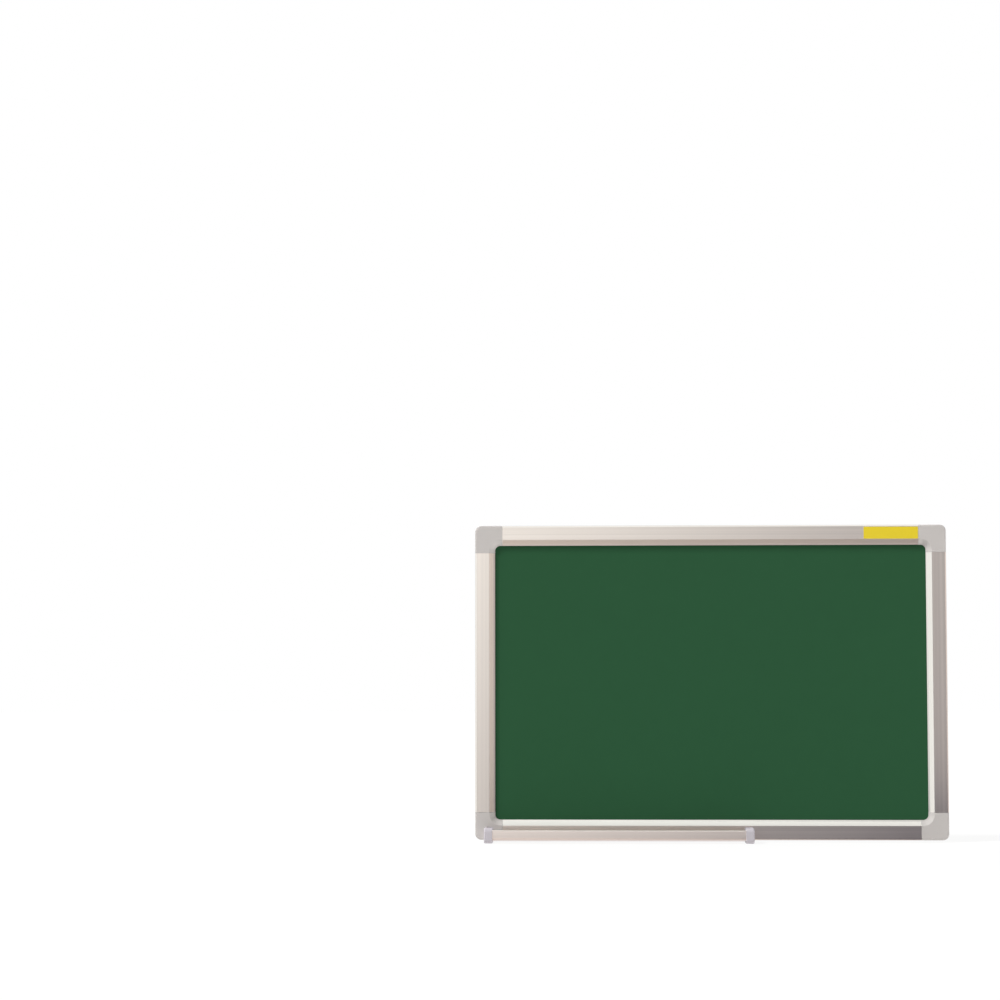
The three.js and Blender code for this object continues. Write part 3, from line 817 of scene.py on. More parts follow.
def rail_tree():
    """A rail: its section drawn out, with a screw hole near each end."""
    inputs = {
        "Section": "Object",
        "Drill": "Object",
        "Length": "Float",
        "Hole Inset": "Float",
        "Hole Height": "Float",
        "Material": "Material",
    }
    graph, given = new_tree("Drilled extrusion", inputs)
    bar = add_extrusion(graph, given["Section"], given["Length"])
    span = Value(graph, given["Length"]) - Value(graph, given["Hole Inset"]) * 2.0
    first = graph.node("ShaderNodeCombineXYZ", None, {"X": given["Hole Height"], "Z": span * -0.5})
    step = graph.node("ShaderNodeCombineXYZ", None, {"Z": span})
    ends = {"Count": 2, "Start Location": first, "Offset": step}
    places = graph.node("GeometryNodeMeshLine", {"mode": "OFFSET"}, ends)
    drill = {"Points": places, "Instance": shape_of(graph, given["Drill"])}
    drills = graph.node("GeometryNodeInstanceOnPoints", None, drill)
    exact = {"operation": "DIFFERENCE", "solver": "EXACT"}
    cut = graph.node("GeometryNodeMeshBoolean", exact, {"Mesh 1": bar, "Mesh 2": drills})
    return close_tree(graph, cut, given["Material"])


def tray_tree():
    """The tray: its strip and its shorter hook drawn out and joined."""
    inputs = {
        "Section": "Object",
        "Length": "Float",
        "Hook": "Object",
        "Hook Length": "Float",
        "Material": "Material",
    }
    graph, given = new_tree("Joined extrusions", inputs)
    strip = add_extrusion(graph, given["Section"], given["Length"])
    hook = add_extrusion(graph, given["Hook"], given["Hook Length"])
    exact = {"operation": "UNION", "solver": "EXACT"}
    joined = graph.node("GeometryNodeMeshBoolean", exact, {"Mesh 2": [strip, hook]})
    return close_tree(graph, joined, given["Material"])


def screw_tree():
    """A screw at each point, stopped at a turn of its own."""
    inputs = {"Screw": "Object", "Seed": "Int", "Material": "Material"}
    graph, given = new_tree("Turned screws", inputs)
    turns = {0: (0.0, 0.0, 0.0), 1: (0.0, math.pi / 2, 0.0), "Seed": given["Seed"]}
    turn = graph.node("FunctionNodeRandomValue", {"data_type": "FLOAT_VECTOR"}, turns)
    screw = {"Points": given["Geometry"], "Instance": shape_of(graph, given["Screw"]), "Rotation": turn}
    placed = graph.node("GeometryNodeInstanceOnPoints", None, screw)
    return close_tree(graph, placed, given["Material"])


# Rail section

class RailShape:
    """Lines of the rail's section that several pieces share."""

    def __init__(self, rail):
        self.lip_edge = RAIL_WIDTH
        self.lip_start = rail.face + rail.bevel
        self.lip_front = RAIL_DEPTH - rail.drop
        self.lip_back = self.lip_front - rail.bevel_wall
        self.face_back = RAIL_DEPTH - rail.wall
        self.chamber_end = rail.channel - rail.stop_wall
        self.mouth = (rail.groove - rail.groove_mouth / 2, rail.groove + rail.groove_mouth / 2)
        self.cavity = (rail.groove - rail.groove_back, rail.groove + rail.groove_front)
        self.roof = rail.wall + rail.groove_depth
        self.rail = rail

    def bevel_back(self, depth):
        """Where the back of the bevel's wall meets a depth."""
        run = self.rail.bevel
        rise = self.rail.drop - self.rail.rise
        slant = math.hypot(run, rise)
        across = self.rail.face - self.rail.bevel_wall * rise / slant
        top = RAIL_DEPTH - self.rail.bevel_wall * run / slant
        return across + (top - depth) * run / rise

    def front_corners(self):
        """Corners of what is seen from the front, from the lip's edge to the outer side."""
        rail = self.rail
        return [
            (self.lip_edge, self.lip_front, rail.edge),
            (self.lip_start, self.lip_front + rail.rise, rail.edge),
            (rail.face, RAIL_DEPTH, rail.crest_radius),
            (0, RAIL_DEPTH, rail.outer_radius),
        ]

    def front(self):
        """Points of what is seen from the front."""
        return rounded([(self.lip_edge, self.lip_back), *self.front_corners(), (0, self.lip_back)])

    def outline(self):
        rail = self.rail
        edge = rail.edge
        return rounded([
            (rail.chamfer, 0, edge),
            (rail.flange_reach, 0, edge),
            (rail.flange_reach, rail.flange, edge),
            (rail.channel, rail.flange),
            (rail.channel, self.face_back),
            (self.bevel_back(self.face_back), self.face_back),
            (self.bevel_back(self.lip_back), self.lip_back),
            (self.lip_edge, self.lip_back, edge),
            *self.front_corners(),
            (0, self.mouth[1], edge),
            (rail.wall, self.mouth[1]),
            (rail.wall, self.cavity[1]),
            (self.roof, self.cavity[1]),
            (self.roof, self.cavity[0]),
            (rail.wall, self.cavity[0]),
            (rail.wall, self.mouth[0]),
            (0, self.mouth[0], edge),
            (0, rail.chamfer, edge),
        ])

    def chamber(self):
        rail = self.rail
        groove_top = self.roof + rail.groove_wall
        return rounded([
            (rail.wall, rail.back_wall),
            (self.chamber_end, rail.back_wall),
            (self.chamber_end, self.face_back),
            (rail.wall, self.face_back, rail.outer_radius - rail.wall),
            (rail.wall, self.cavity[1] + rail.groove_wall),
            (groove_top, self.cavity[1] + rail.groove_wall),
            (groove_top, self.cavity[0] - rail.groove_wall),
            (rail.wall, self.cavity[0] - rail.groove_wall),
        ])


# Turns (across, forward, along) of a section into the lower side of the board
LOWER_SIDE = Matrix(((0, 0, 1, 0), (0, -1, 0, 0), (1, 0, 0, 0), (0, 0, 0, 1)))

# Turns (along, inward, forward) of a corner at the frame's lower left into the board
LOWER_LEFT = Matrix(((1, 0, 0, 0), (0, 0, -1, 0), (0, 1, 0, 0), (0, 0, 0, 1)))


def settings_of(context):
    return context.scene.chalkboard


def middle_of(node):
    """The middle of a CAD node's box."""
    return [(low + high) / 2 for low, high in zip(*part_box(node))]


def screw_profile(screw, grow, top):
    """Rings of the screw's plain outline, grown by a clearance, from its tip to above its head."""
    return [
        (0.0, -screw.shaft - grow),
        (screw.tip + grow, -screw.shaft - grow),
        (screw.radius + grow, screw.point - screw.shaft),
        (screw.radius + grow, -screw.sunk - screw.head_height),
        (screw.head_radius + grow, -screw.sunk),
        (screw.head_radius + grow, top),
        (0.0, top),
    ]


class CHALKBOARD_OT_rails(Operator):
    """Draw the four rails out of one section, with the holes for the corner screws"""

    bl_idname = "chalkboard.rails"
    bl_label = "Rails"

    def execute(self, context):
        settings = settings_of(context)
        screw, finishes = settings.screw, settings.finishes
        shape = RailShape(settings.rail)
        section = section_curve("rail_section", [shape.outline(), shape.chamber()])
        drill = revolved("drill", screw_profile(screw, screw.fit, PAST))
        moved(drill, Matrix.Rotation(math.pi, 4, "X"))
        tree = rail_tree()
        along, _, up = middle_of("screw_bottom_rail_left")
        look = (anodised, finishes.aluminium, finishes.aluminium_roughness)
        metals = {axis: new_finish(f"anodised_along_{'xyz'[axis]}", *look, axis) for axis in (0, 2)}
        for quarter, side in enumerate(("bottom", "left", "top", "right")):
            node = f"{side}_rail"
            low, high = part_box(node)
            axis = 2 if quarter % 2 else 0
            distance = (BOARD_WIDTH if quarter % 2 else BOARD_HEIGHT) / 2
            values = {
                "Section": section,
                "Drill": drill,
                "Length": high[axis] - low[axis],
                "Hole Inset": along - RAIL_LOW.x,
                "Hole Height": up - FRAME_LOW.z,
                "Material": metals[axis],
            }
            turn = Matrix.Rotation(quarter * math.pi / 2, 4, "Y")
            place = turn @ Matrix.Translation((0, 0, -distance)) @ LOWER_SIDE
            piece = moved(grown(f"rail_{side}", tree, values), place)
            dress(piece, metals[axis], BOARD_BODY, "frame_aluminium", node)
        drop(section, drill)
        return {"FINISHED"}


# Corners

# Least height of a layer, overlap of the groove's mouth, and the flat left between a slot's two rounds
LAYER_GAP = 0.002 * MM
MOUTH_OVERLAP = 0.1 * MM
SLOT_FLAT = 0.01 * MM

# Steps of the rounding of an arm's end
END_STEPS = 6


def corner_layer(corner, depth, outer, inner, end=0.0):
    """An L-shaped outline at one depth, with its insets from the frame's outer edge."""
    heel = RAIL_WIDTH + corner.inner_radius
    arm = corner.arm - end
    outline = rounded([
        (arm, outer, corner.end_radius),
        (arm, inner, corner.end_radius),
        (inner, inner, heel - inner),
        (inner, arm, corner.end_radius),
        (outer, arm, corner.end_radius),
        (outer, outer, corner.outer_radius - outer),
    ])
    return [Vector((p.x, p.y, depth)) for p in outline]


def inset_at(line, depth):
    """Inset of a line of section points at a depth."""
    for low, high in zip(line, line[1:]):
        if low.y <= depth <= high.y and high.y > low.y:
            return low.x + (high.x - low.x) * (depth - low.y) / (high.y - low.y)
    return line[0].x if depth < line[0].y else line[-1].x


def end_inset(radius, depth):
    """How far an arm's end lies back at a depth, where it rounds into the face."""
    into = max(0.0, depth - (RAIL_DEPTH - radius))
    return radius - math.sqrt(max(0.0, radius ** 2 - into ** 2))


def corner_block(corner, shape):
    """The outside of a corner, as layers from its back to its face."""
    rail = shape.rail
    front = shape.front()
    inner_line = sorted((p for p in front if p.x > rail.face / 2), key=lambda p: (p.y, -p.x))
    outer_line = sorted((p for p in front if p.x < rail.face / 2), key=lambda p: (p.y, p.x))
    turns = [i * ARC_STEP * 2 for i in range(1, END_STEPS + 1)]
    depths = [p.y for p in front] + [RAIL_DEPTH - corner.end_radius * (1 - math.sin(a)) for a in turns]
    layers = [
        corner_layer(corner, 0, rail.chamfer, rail.flange_reach),
        corner_layer(corner, rail.chamfer, 0, rail.flange_reach),
        corner_layer(corner, rail.flange, 0, rail.flange_reach),
        corner_layer(corner, shape.lip_back, 0, shape.lip_edge),
    ]
    last = shape.lip_back
    for depth in sorted(depths):
        if depth - last > LAYER_GAP:
            end = end_inset(corner.end_radius, depth)
            insets = inset_at(outer_line, depth), inset_at(inner_line, depth)
            layers.append(corner_layer(corner, depth, *insets, end))
            last = depth
    return stacked("corner_body", layers)


class CornerShape:
    """Places inside a corner moulding, in its own frame."""

    def __init__(self, settings, shape):
        corner = settings.corner
        along, _, up = middle_of("screw_bottom_rail_left")
        self.across = (
            shape.roof + shape.rail.groove_wall + corner.spigot_fit,
            shape.chamber_end - corner.spigot_fit,
        )
        self.deep = (shape.rail.back_wall + corner.spigot_fit, shape.face_back - corner.spigot_fit)
        self.tip = corner.arm + corner.spigot
        self.screw_along = along - FRAME_LOW.x
        self.screw_across = up - FRAME_LOW.z
        self.key_across = (corner.wall + shape.chamber_end) / 2


def spigot(corner, places):
    near, far = places.across
    root = corner.arm - corner.rib / 2
    outline = rounded([
        (root, near),
        (places.tip - corner.spigot_nose, near, corner.spigot_radius),
        (places.tip, near + corner.spigot_nose / 2, corner.spigot_radius),
        (places.tip, far - corner.spigot_nose / 2, corner.spigot_radius),
        (places.tip - corner.spigot_nose, far, corner.spigot_radius),
        (root, far),
    ])
    return prism("spigot", outline, *places.deep)


def arm_tools(settings, shape, places):
    """Holes and hollows of one arm, for the arm that runs along x."""
    corner, screw, rail = settings.corner, settings.screw, settings.rail
    past = corner.arm + PAST
    wall = corner.spigot_wall
    hole = revolved("screw_hole", screw_profile(screw, screw.fit, PAST))
    moved(hole, Matrix.Rotation(-math.pi / 2, 4, "X"))
    moved(hole, Matrix.Translation((places.screw_along, places.screw_across, 0)))
    return [
        block("groove_mouth", (corner.groove_stop, past), (-PAST, rail.wall + MOUTH_OVERLAP), shape.mouth),
        block("groove", (corner.groove_stop, past), (rail.wall, shape.roof), shape.cavity),
        block(
            "hollow",
            (corner.groove_stop + corner.wall, corner.arm - corner.rib),
            (shape.roof + rail.groove_wall, rail.channel + BREAK_IN),
            (corner.wall, shape.face_back),
        ),
        block(
            "spigot_hollow",
            (places.screw_along + 2 * screw.head_radius, places.tip + PAST),
            (places.across[0] + wall, places.across[1] - wall),
            (places.deep[0] + wall, places.deep[1] - wall),
        ),
        hole,
    ]


def keyhole_tools(settings, places, shape):
    """The keyhole and the pocket behind its plate, in the arm that runs along y."""
    corner = settings.corner
    low, high = -PAST, corner.key_plate + PAST
    half_length, half_slot = corner.key_length / 2, corner.key_slot / 2
    across = (places.key_across - half_slot, places.key_across + half_slot)
    bottom, top = corner.key_height - half_length, corner.key_height + half_length
    slot = rectangle(across, (bottom, top), [half_slot - SLOT_FLAT] * 4)
    centre = Vector((places.key_across, corner.key_height))
    head = [centre + p.xz for p in ring(corner.key_head / 2, 0)]
    pocket = block(
        "pocket",
        (corner.wall, settings.rail.channel + BREAK_IN),
        (bottom - corner.pocket_margin, top + corner.pocket_margin),
        (corner.key_plate, corner.pocket_front),
    )
    return [prism("slot", slot, low, high), prism("key_head", head, low, high), pocket]


SWAP_ARMS = Matrix(((0, 1, 0, 0), (1, 0, 0, 0), (0, 0, 1, 0), (0, 0, 0, 1)))


def corner_moulding(settings, shape):
    """The lower left corner in its own frame, with its keyhole in the arm along y."""
    corner, rail = settings.corner, settings.rail
    places = CornerShape(settings, shape)
    spigots = [spigot(corner, places), moved(spigot(corner, places), SWAP_ARMS)]
    body = combined(corner_block(corner, shape), spigots, "UNION")
    channel = (rail.channel, corner.arm + PAST)
    tools = [
        block("channel", channel, channel, (rail.flange, shape.lip_back)),
        *arm_tools(settings, shape, places),
        *[moved(tool, SWAP_ARMS) for tool in arm_tools(settings, shape, places)],
        *keyhole_tools(settings, places, shape),
    ]
    return combined(body, tools, "DIFFERENCE")


class CHALKBOARD_OT_corners(Operator):
    """Mould the four corners with their spigots, keyholes and the ends of the tray's groove"""

    bl_idname = "chalkboard.corners"
    bl_label = "Corners"

    def execute(self, context):
        settings = settings_of(context)
        body = corner_moulding(settings, RailShape(settings.rail))
        finishes = settings.finishes
        plastic = new_finish("corner_plastic_finish", moulded, finishes.corner, finishes.corner_roughness)
        start = Matrix.Translation((-BOARD_WIDTH / 2, 0, -BOARD_HEIGHT / 2)) @ LOWER_LEFT
        for vertical, z_sign in (("bottom", 1), ("top", -1)):
            for horizontal, x_sign in (("left", 1), ("right", -1)):
                name = f"{vertical}_{horizontal}"
                mirror = Matrix.Diagonal((x_sign, 1, z_sign, 1))
                piece = copied(body, f"moulding_{name}", mirror @ start)
                dress(piece, plastic, BOARD_BODY, "corner_plastic", f"corner_{name}")
        drop(body)
        return {"FINISHED"}


# Screws

SCREW_STEPS = 24
ROWS_PER_TURN = 6

# Rings of the head above its cone, each with how far it lies inside the rim and below the top
HEAD_RINGS = ((0.12 * MM, 0.15 * MM), (0.0, 0.06 * MM), (0.06 * MM, 0.0))

# How far a recess's wing reaches, as a share of its half span: at its floor, and at the cutter's top
RECESS_FLOOR = 0.45
RECESS_MOUTH = 1.35
RECESS_ABOVE = 0.5 * MM


def thread_ring(screw, y):
    """One ring of the shaft, whose radius follows the thread round it."""
    into = min(1.0, (y + screw.shaft) / screw.point)
    crest = screw.tip + (screw.radius - screw.tip) * into
    root = min(crest, screw.tip + (screw.core - screw.tip) * into)

    def radius(turned):
        wave = 1 - abs(2 * ((y / screw.pitch - turned) % 1) - 1)
        return root + (crest - root) * wave ** 2

    return ring(radius, y, SCREW_STEPS)


def recess_wing(screw):
    """The cutter of one wing of the cross recess."""
    half, narrow = screw.recess_span / 2, screw.recess / 2
    layers = []
    for y, reach in ((-screw.sunk - screw.recess_depth, RECESS_FLOOR), (RECESS_ABOVE, RECESS_MOUTH)):
        outline = rectangle((-half * reach, half * reach), (-narrow, narrow))
        layers.append([Vector((p.x, y, p.y)) for p in outline])
    return stacked("wing", layers)


def threaded_screw(screw):
    """A countersunk self-tapping screw that points along -y, with a cross recess."""
    length_of_thread = screw.shaft - screw.sunk - screw.head_height
    rows = int(length_of_thread / (screw.pitch / ROWS_PER_TURN))
    rings = [thread_ring(screw, length_of_thread * row / rows - screw.shaft) for row in range(rows + 1)]
    rings.append(ring(screw.radius, length_of_thread - screw.shaft, SCREW_STEPS))
    for inside, below in HEAD_RINGS:
        rings.append(ring(screw.head_radius - inside, -screw.sunk - below, SCREW_STEPS))
    wings = [moved(recess_wing(screw), Matrix.Rotation(turn, 4, "Y")) for turn in (0, math.pi / 2)]
    return combined(stacked("screw", rings), wings, "DIFFERENCE")


class CHALKBOARD_OT_screws(Operator):
    """Set a countersunk screw in each end of each rail"""

    bl_idname = "chalkboard.screws"
    bl_label = "Corner screws"

    def execute(self, context):
        settings = settings_of(context)
        finishes = settings.finishes
        screw = threaded_screw(settings.screw)
        plate = new_finish("zinc_plate_finish", zinc_plate, finishes.screw, finishes.screw_roughness)
        places = bpy.data.meshes.new("screw_places")
        places.from_pydata([(x, 0, z) for x, _, z in map(middle_of, SCREW_NODES)], [], [])
        values = {"Screw": screw, "Seed": settings.screw.seed, "Material": plate}
        carrier = new_object("corner_screws", places)
        piece = grown("corner_screws", screw_tree(), values, carrier)
        dress(piece, plate, BOARD_BODY, "zinc_steel", *SCREW_NODES)
        drop(screw)
        return {"FINISHED"}


# Panel

def repaint(node, name, look, *about):
    """Gives a CAD node a new finish."""
    material = new_finish(name, look, *about)
    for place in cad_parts[node].material_slots:
        place.material = material


class CHALKBOARD_OT_panel(Operator):
    """Finish the writing sheet, the core board and the backing sheet"""

    bl_idname = "chalkboard.panel"
    bl_label = "Panel"

    def execute(self, context):
        finishes = settings_of(context).finishes
        enamel = (chalk_enamel, finishes.enamel, finishes.enamel_roughness)
        fibre = (pressed_fibre, finishes.fibreboard, finishes.fibreboard_roughness)
        zinc = (spangled_zinc, finishes.zinc, finishes.zinc_roughness)
        repaint("writing_sheet", "chalk_enamel_finish", *enamel)
        repaint("core_board", "fibreboard_finish", *fibre)
        repaint("backing_sheet", "galvanised_finish", *zinc)
        return {"FINISHED"}


class CHALKBOARD_OT_label(Operator):
    """Lay the plain sticker on the top rail"""

    bl_idname = "chalkboard.label"
    bl_label = "Sticker"

    def execute(self, context):
        settings = settings_of(context)
        label, finishes = settings.label, settings.finishes
        low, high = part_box("label")
        layers = []
        for y, inset in ((high.y, 0), (low.y + label.edge, 0), (low.y, label.edge)):
            x, z = (low.x + inset, high.x - inset), (low.z + inset, high.z - inset)
            outline = rectangle(x, z, [label.corner_radius - inset] * 4)
            layers.append([Vector((p.x, y, p.y)) for p in outline])
        film = new_finish("sticker_finish", printed_film, finishes.sticker, finishes.sticker_roughness)
        dress(stacked("plain_sticker", layers), film, BOARD_BODY, "label_film", "label")
        return {"FINISHED"}


# Tray

class TrayShape:
    """Lines of the tray's section, measured up from the frame's lower edge and forward from the wall."""

    def __init__(self, settings):
        tray, cap = settings.tray, settings.cap
        low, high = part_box("tray")
        self.tray = tray
        self.front = -low.y
        self.top = -tray.running
        self.low = self.top - tray.wall
        self.bend = RAIL_DEPTH + cap.rail_gap
        self.length = high.x - low.x
        self.middle = middle_of("tray")[0]
        self.hook_length = 2 * (self.middle - FRAME_LOW.x - settings.corner.groove_stop - tray.running)

    def strip(self, start, grow=0.0):
        """Floor, lip and rolled edge as one outline, which may be grown by a clearance."""
        tray = self.tray
        edge = tray.edge if not grow else 0
        middle = (tray.lip_top - tray.bead, self.front - tray.bead)
        radius = tray.bead + grow
        last = 2 * math.pi - math.acos((tray.bead - tray.wall - grow) / radius)
        steps = round(last / ARC_STEP)
        turns = [last * i / steps for i in range(steps + 1)]
        roll = [(middle[0] + radius * math.sin(a), middle[1] + radius * math.cos(a)) for a in turns]
        front, back = self.front + grow, self.front - tray.wall - grow
        return rounded([
            (self.low - grow, start, edge),
            (self.low - grow, self.bend, tray.bend_radius),
            (tray.rise - grow, front, tray.bottom_radius + grow),
            *roll,
            (tray.rise + tray.wall + grow, back, tray.bottom_radius - tray.wall - grow),
            (self.top + grow, self.bend, tray.bend_radius),
            (self.top + grow, start, edge),
        ])

    def hook(self, rail):
        tray = self.tray
        foot = self.top - tray.wall / 2
        seat = rail.wall + tray.running
        back = rail.groove - tray.stem / 2
        barb = back - tray.barb
        crown = seat + tray.barb_height
        return rounded([
            (foot, back),
            (seat, back),
            (seat, barb, tray.edge),
            (crown, barb, tray.barb_height / 2),
            (crown, back + tray.stem, tray.edge),
            (foot, back + tray.stem),
        ])


class CHALKBOARD_OT_tray(Operator):
    """Draw the chalk tray out of its section, with its shorter hook"""

    bl_idname = "chalkboard.tray"
    bl_label = "Chalk tray"

    def execute(self, context):
        settings = settings_of(context)
        shape = TrayShape(settings)
        finishes = settings.finishes
        metal = new_finish("anodised_tray", anodised, finishes.tray, finishes.tray_roughness, 0)
        strip = section_curve("tray_section", [shape.strip(settings.tray.tail)])
        hook = section_curve("hook_section", [shape.hook(settings.rail)])
        values = {
            "Section": strip,
            "Length": shape.length,
            "Hook": hook,
            "Hook Length": shape.hook_length,
            "Material": metal,
        }
        place = Matrix.Translation((shape.middle, 0, FRAME_LOW.z)) @ LOWER_SIDE
        piece = moved(grown("tray_extrusion", tray_tree(), values), place)
        dress(piece, metal, TRAY_BODY, "tray_aluminium", "tray")
        drop(strip, hook)
        return {"FINISHED"}


# Steps of each rounding of a cap
CAP_STEPS = 8


def cap_block(cap, low, high):
    """The outside of a cap, as layers along the tray from its end wall to its open rim."""
    bottom, top = low.z - FRAME_LOW.z, high.z - FRAME_LOW.z
    back, front = -high.y, -low.y
    width = high.x - low.x
    r = cap.edge_radius
    quarter = [i * math.pi / 2 / CAP_STEPS for i in range(CAP_STEPS + 1)]
    stations = [(r * (1 - math.cos(a)), r * (1 - math.sin(a))) for a in quarter]
    stations += [(width - cap.rim * (1 - math.sin(a)), cap.rim * (1 - math.cos(a))) for a in quarter]
    layers = []
    for along, inset in stations:
        grow = r - inset
        outline = rounded([
            (bottom + inset, back + inset, cap.rear_radius + grow),
            (bottom + inset, front - inset, cap.front_bottom_radius - inset),
            (top - inset, front - inset, cap.front_top_radius - inset),
            (top - inset, back + inset, cap.rear_radius + grow),
        ])
        layers.append([Vector((p.x, p.y, along)) for p in outline])
    return stacked("cap_body", layers)


def end_cap(settings):
    """The left cap in the frame of the lower side, with its outer face at the origin."""
    cap, tray = settings.cap, settings.tray
    low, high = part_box("tray_cap_left")
    shape = TrayShape(settings)
    width = high.x - low.x
    back, front = -high.y, -low.y
    floor = tray.rise + tray.wall + cap.floor
    deep = 2 * width
    across = (back + cap.rear_wall, front - cap.front_wall)
    pocket = rectangle(across, (cap.end_wall, deep), (cap.pocket_radius, cap.pocket_radius, 0, 0))
    layers = [[Vector((u, p.x, p.y)) for p in pocket] for u in (floor, 2 * (high.z - low.z))]
    tools = [
        stacked("pocket", layers),
        prism("socket", shape.strip(back - PAST, cap.fit), cap.end_wall, deep),
    ]
    return combined(cap_block(cap, low, high), tools, "DIFFERENCE")


class CHALKBOARD_OT_caps(Operator):
    """Put the two plastic caps on the ends of the tray"""

    bl_idname = "chalkboard.caps"
    bl_label = "Tray caps"

    def execute(self, context):
        settings = settings_of(context)
        body = end_cap(settings)
        finishes = settings.finishes
        plastic = new_finish("cap_plastic_finish", moulded, finishes.cap, finishes.cap_roughness)
        for side, x_sign in (("left", 1), ("right", -1)):
            low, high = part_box(f"tray_cap_{side}")
            end = low.x if x_sign > 0 else high.x
            mirror = Matrix.Diagonal((x_sign, 1, 1, 1))
            place = Matrix.Translation((end, 0, FRAME_LOW.z)) @ mirror @ LOWER_SIDE
            piece = copied(body, f"tray_end_{side}", place)
            dress(piece, plastic, TRAY_BODY, "cap_plastic", f"tray_cap_{side}")
        drop(body)
        return {"FINISHED"}


# Studio

WHITE = (1.0, 1.0, 1.0, 1.0)
DARK = (0.012, 0.004, 0.04, 1.0)

# Towards the key lamp, towards the brightest part of what metal mirrors, and towards the low fill lamp
KEY_DIRECTION = Vector((-1.7, -1.0, 2.1)).normalized()
SHEEN_DIRECTION = Vector((-1.45, -1.0, 1.67)).normalized()
FILL_DIRECTION = Vector((0.78, -0.205, -0.6)).normalized()
LAMP_DISTANCE = 2.0

# The floor lies just below the board, so that neither hides the other from below
FLOOR_GAP = 0.2 * MM
FLOOR_REACH = 20.0
FLOOR_GLOW = 1.06
DUST_SCALE = 14.0

# How dark the card is from its clear end to its dark end
CARD_STOPS = ((0.0, 0.0), (0.25, 0.34), (0.42, 0.7), (0.52, 0.62), (1.0, 0.68))
CARD_SLOPE = (math.sqrt(0.5), 0, -math.sqrt(0.5))

# Where the sheen turns from the far side to the front and to the key side, from 0 away to 1 towards it
SHEEN_TURNS = (0.2, 0.69, 0.85)
BACK_SPREAD = 3.0

# Where the photograph was taken from, solved from the board's four outer corners
CAMERA_PLACE = Vector((-0.1243, -3.5475, -0.0095))
CAMERA_YAW = math.radians(2.33)
CAMERA_PITCH = math.radians(3.93)
CAMERA_ROLL = math.radians(0.05)
CAMERA_LENS = 99.43


def floor_shader(graph, studio):
    """Pale floor that keeps the object's shadow, is near white to the camera, and is clear from below."""
    path = graph.node("ShaderNodeLightPath").outputs
    shown = graph.math("MAXIMUM", path["Is Camera Ray"], path["Is Transmission Ray"])
    dust = graph.noise(EVEN, DUST_SCALE, detail=3.0)
    colour = graph.shades(dust, studio.floor_tint, low=0.98, high=1.02)
    lit = graph.node("ShaderNodeBsdfDiffuse", None, {"Color": colour})
    white = graph.node("ShaderNodeEmission", None, {"Color": WHITE, "Strength": FLOOR_GLOW})
    above = graph.mixed(shown * studio.floor_white, lit, white)
    below = graph.node("ShaderNodeNewGeometry").outputs["Backfacing"]
    return graph.mixed(below, above, graph.node("ShaderNodeBsdfTransparent"))


def veil(graph, darkness):
    """A shader that is dark by a share, and clear for the rest."""
    limited = graph.math("MINIMUM", graph.math("MAXIMUM", darkness, 0.0), 1.0)
    clear = graph.node("ShaderNodeBsdfTransparent")
    return graph.mixed(limited, clear, graph.node("ShaderNodeEmission", None, {"Color": DARK}))


def card_shader(graph, studio):
    """Darkens what metal mirrors, from clear at the upper left to dark at the lower right."""
    across = graph.dot(graph.place(), CARD_SLOPE) - studio.card_clear
    return veil(graph, graph.ramp(across * (1 / (studio.card_dark - studio.card_clear)), *CARD_STOPS))


def flag_shader(graph, studio):
    """Darkens what the lower rail mirrors, more to the right."""
    return veil(graph, graph.part(graph.place(), "X") * studio.flag_slope + studio.flag_dark)


def light_world(world, studio):
    """White to the camera, an even light on the object, and a soft slope of light in its gloss."""
    world.use_nodes = True
    graph = Graph(world.node_tree)
    path = graph.node("ShaderNodeLightPath").outputs
    direction = graph.place("Generated")
    towards = graph.dot(direction, SHEEN_DIRECTION) * 0.5 + 0.5
    behind = graph.math("MAXIMUM", graph.part(direction, "Y"), 0.0)
    sheens = (studio.sheen_far, studio.sheen_front, studio.sheen_key)
    ahead = graph.ramp(towards, *zip(SHEEN_TURNS, sheens))
    back_share = graph.math("MINIMUM", behind * BACK_SPREAD, 1.0)
    sheen = graph.blend(back_share, ahead, (*studio.sheen_back, 1.0))
    shiny = graph.math("MAXIMUM", path["Is Glossy Ray"], path["Is Transmission Ray"])
    light = graph.blend(shiny, behind * studio.back_light + studio.ambient, sheen)
    shown = graph.blend(path["Is Camera Ray"], light, WHITE)
    back = graph.node("ShaderNodeBackground", None, {"Color": shown})
    graph.node("ShaderNodeOutputWorld", None, {"Surface": back})


def stage_sheet(name, corners, material):
    """A flat sheet of one face with its material, for the studio."""
    made = object_from(name, corners, [tuple(range(len(corners)))])
    made.data.materials.append(material)
    return made


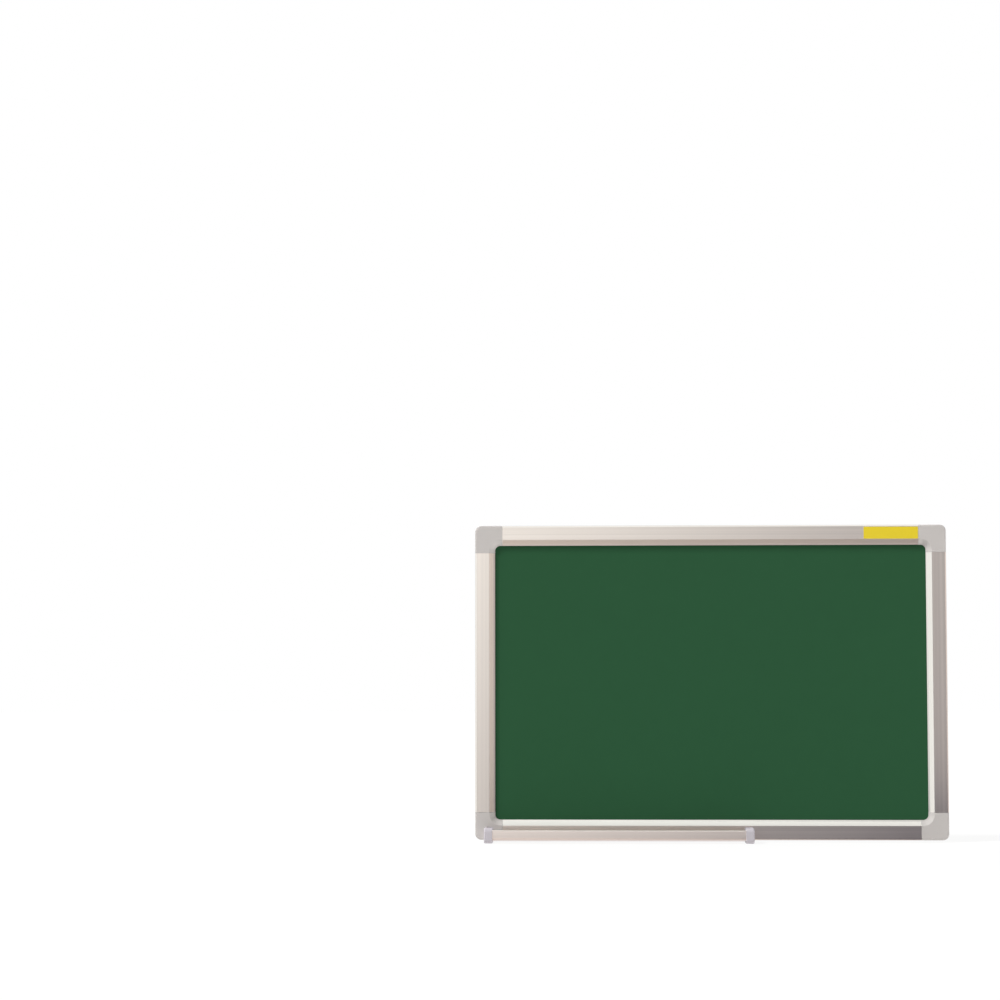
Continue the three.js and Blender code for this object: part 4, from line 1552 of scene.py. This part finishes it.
class CHALKBOARD_OT_studio(Operator):
    """Set up the floor, the lamps, the white background and the camera"""

    bl_idname = "chalkboard.studio"
    bl_label = "Studio"

    def execute(self, context):
        studio = settings_of(context).studio
        scene = context.scene
        scene.view_settings.view_transform = "Standard"
        reach = studio.card_reach
        self.add_floor(new_surface("floor_finish", floor_shader, studio))
        dark = new_surface("card_finish", card_shader, studio)
        self.add_card("dark_card", dark, studio.card_distance, reach, (studio.card_drop, reach))
        low = new_surface("flag_finish", flag_shader, studio)
        self.add_card("low_flag", low, studio.flag_distance, reach, (studio.flag_drop, studio.flag_top))
        scene.world = scene.world or bpy.data.worlds.new("studio")
        light_world(scene.world, studio)
        self.add_lamp("key", KEY_DIRECTION, studio.key_power, studio.key_angle)
        fill = self.add_lamp("fill", FILL_DIRECTION, studio.fill_power, studio.fill_angle)
        fill.data.use_shadow = False
        self.add_camera(scene)
        return {"FINISHED"}

    def add_floor(self, material):
        level = CAD_LOW.z - FLOOR_GAP
        across = (-FLOOR_REACH, FLOOR_REACH)
        corners = [(p.x, p.y, level) for p in rectangle(across, across)]
        stage_sheet("floor", corners, material).visible_glossy = False

    def add_card(self, name, material, distance, reach, heights):
        """An upright card before the board, which only glossy rays meet."""
        corners = [(p.x, -distance, p.y) for p in rectangle((-reach, reach), heights)]
        sheet = stage_sheet(name, corners, material)
        for rays in ("camera", "diffuse", "transmission", "shadow"):
            setattr(sheet, f"visible_{rays}", False)

    def add_lamp(self, name, direction, power, angle):
        data = bpy.data.lights.new(name, "SUN")
        data.energy = power
        data.angle = angle
        lamp = new_object(name, data)
        lamp.location = direction * LAMP_DISTANCE
        lamp.rotation_euler = direction.to_track_quat("Z", "Y").to_euler()
        lamp.visible_glossy = False
        return lamp

    def add_camera(self, scene):
        data = bpy.data.cameras.new("camera")
        data.lens = CAMERA_LENS
        data.sensor_width = 36
        data.clip_start = 0.05
        data.clip_end = 100
        camera = new_object("camera", data)
        turn = (
            Matrix.Rotation(CAMERA_YAW, 4, "Z")
            @ Matrix.Rotation(CAMERA_PITCH, 4, "X")
            @ Matrix.Rotation(CAMERA_ROLL, 4, "Y")
            @ Matrix.Rotation(math.pi / 2, 4, "X")
        )
        camera.matrix_world = Matrix.Translation(CAMERA_PLACE) @ turn
        scene.camera = camera


OPERATORS = [
    CHALKBOARD_OT_panel,
    CHALKBOARD_OT_rails,
    CHALKBOARD_OT_corners,
    CHALKBOARD_OT_screws,
    CHALKBOARD_OT_label,
    CHALKBOARD_OT_tray,
    CHALKBOARD_OT_caps,
    CHALKBOARD_OT_studio,
]


class VIEW3D_PT_chalkboard(Panel):
    """Lists the steps and the settings of the chalkboard"""

    bl_label = "Chalkboard"
    bl_space_type = "VIEW_3D"
    bl_region_type = "UI"
    bl_category = "Chalkboard"

    def draw(self, context):
        settings = settings_of(context)
        for operator in OPERATORS:
            self.layout.operator(operator.bl_idname)
        for name in Chalkboard.__annotations__:
            box = self.layout.box()
            box.label(text=name.capitalize())
            group = getattr(settings, name)
            for field in group.bl_rna.properties:
                if not field.is_readonly and field.identifier != "name":
                    box.prop(group, field.identifier)


CLASSES = [
    RailSizes,
    CornerSizes,
    ScrewSizes,
    TraySizes,
    CapSizes,
    LabelSizes,
    Finishes,
    Studio,
    Chalkboard,
    *OPERATORS,
    VIEW3D_PT_chalkboard,
]


def register():
    for item in CLASSES:
        bpy.utils.register_class(item)
    bpy.types.Scene.chalkboard = PointerProperty(type=Chalkboard)


def unregister():
    del bpy.types.Scene.chalkboard
    for item in reversed(CLASSES):
        bpy.utils.unregister_class(item)


def main():
    register()
    bpy.ops.chalkboard.panel()
    bpy.ops.chalkboard.rails()
    bpy.ops.chalkboard.corners()
    bpy.ops.chalkboard.screws()
    bpy.ops.chalkboard.label()
    bpy.ops.chalkboard.tray()
    bpy.ops.chalkboard.caps()
    bpy.ops.chalkboard.studio()


if __name__ == "__main__":
    main()
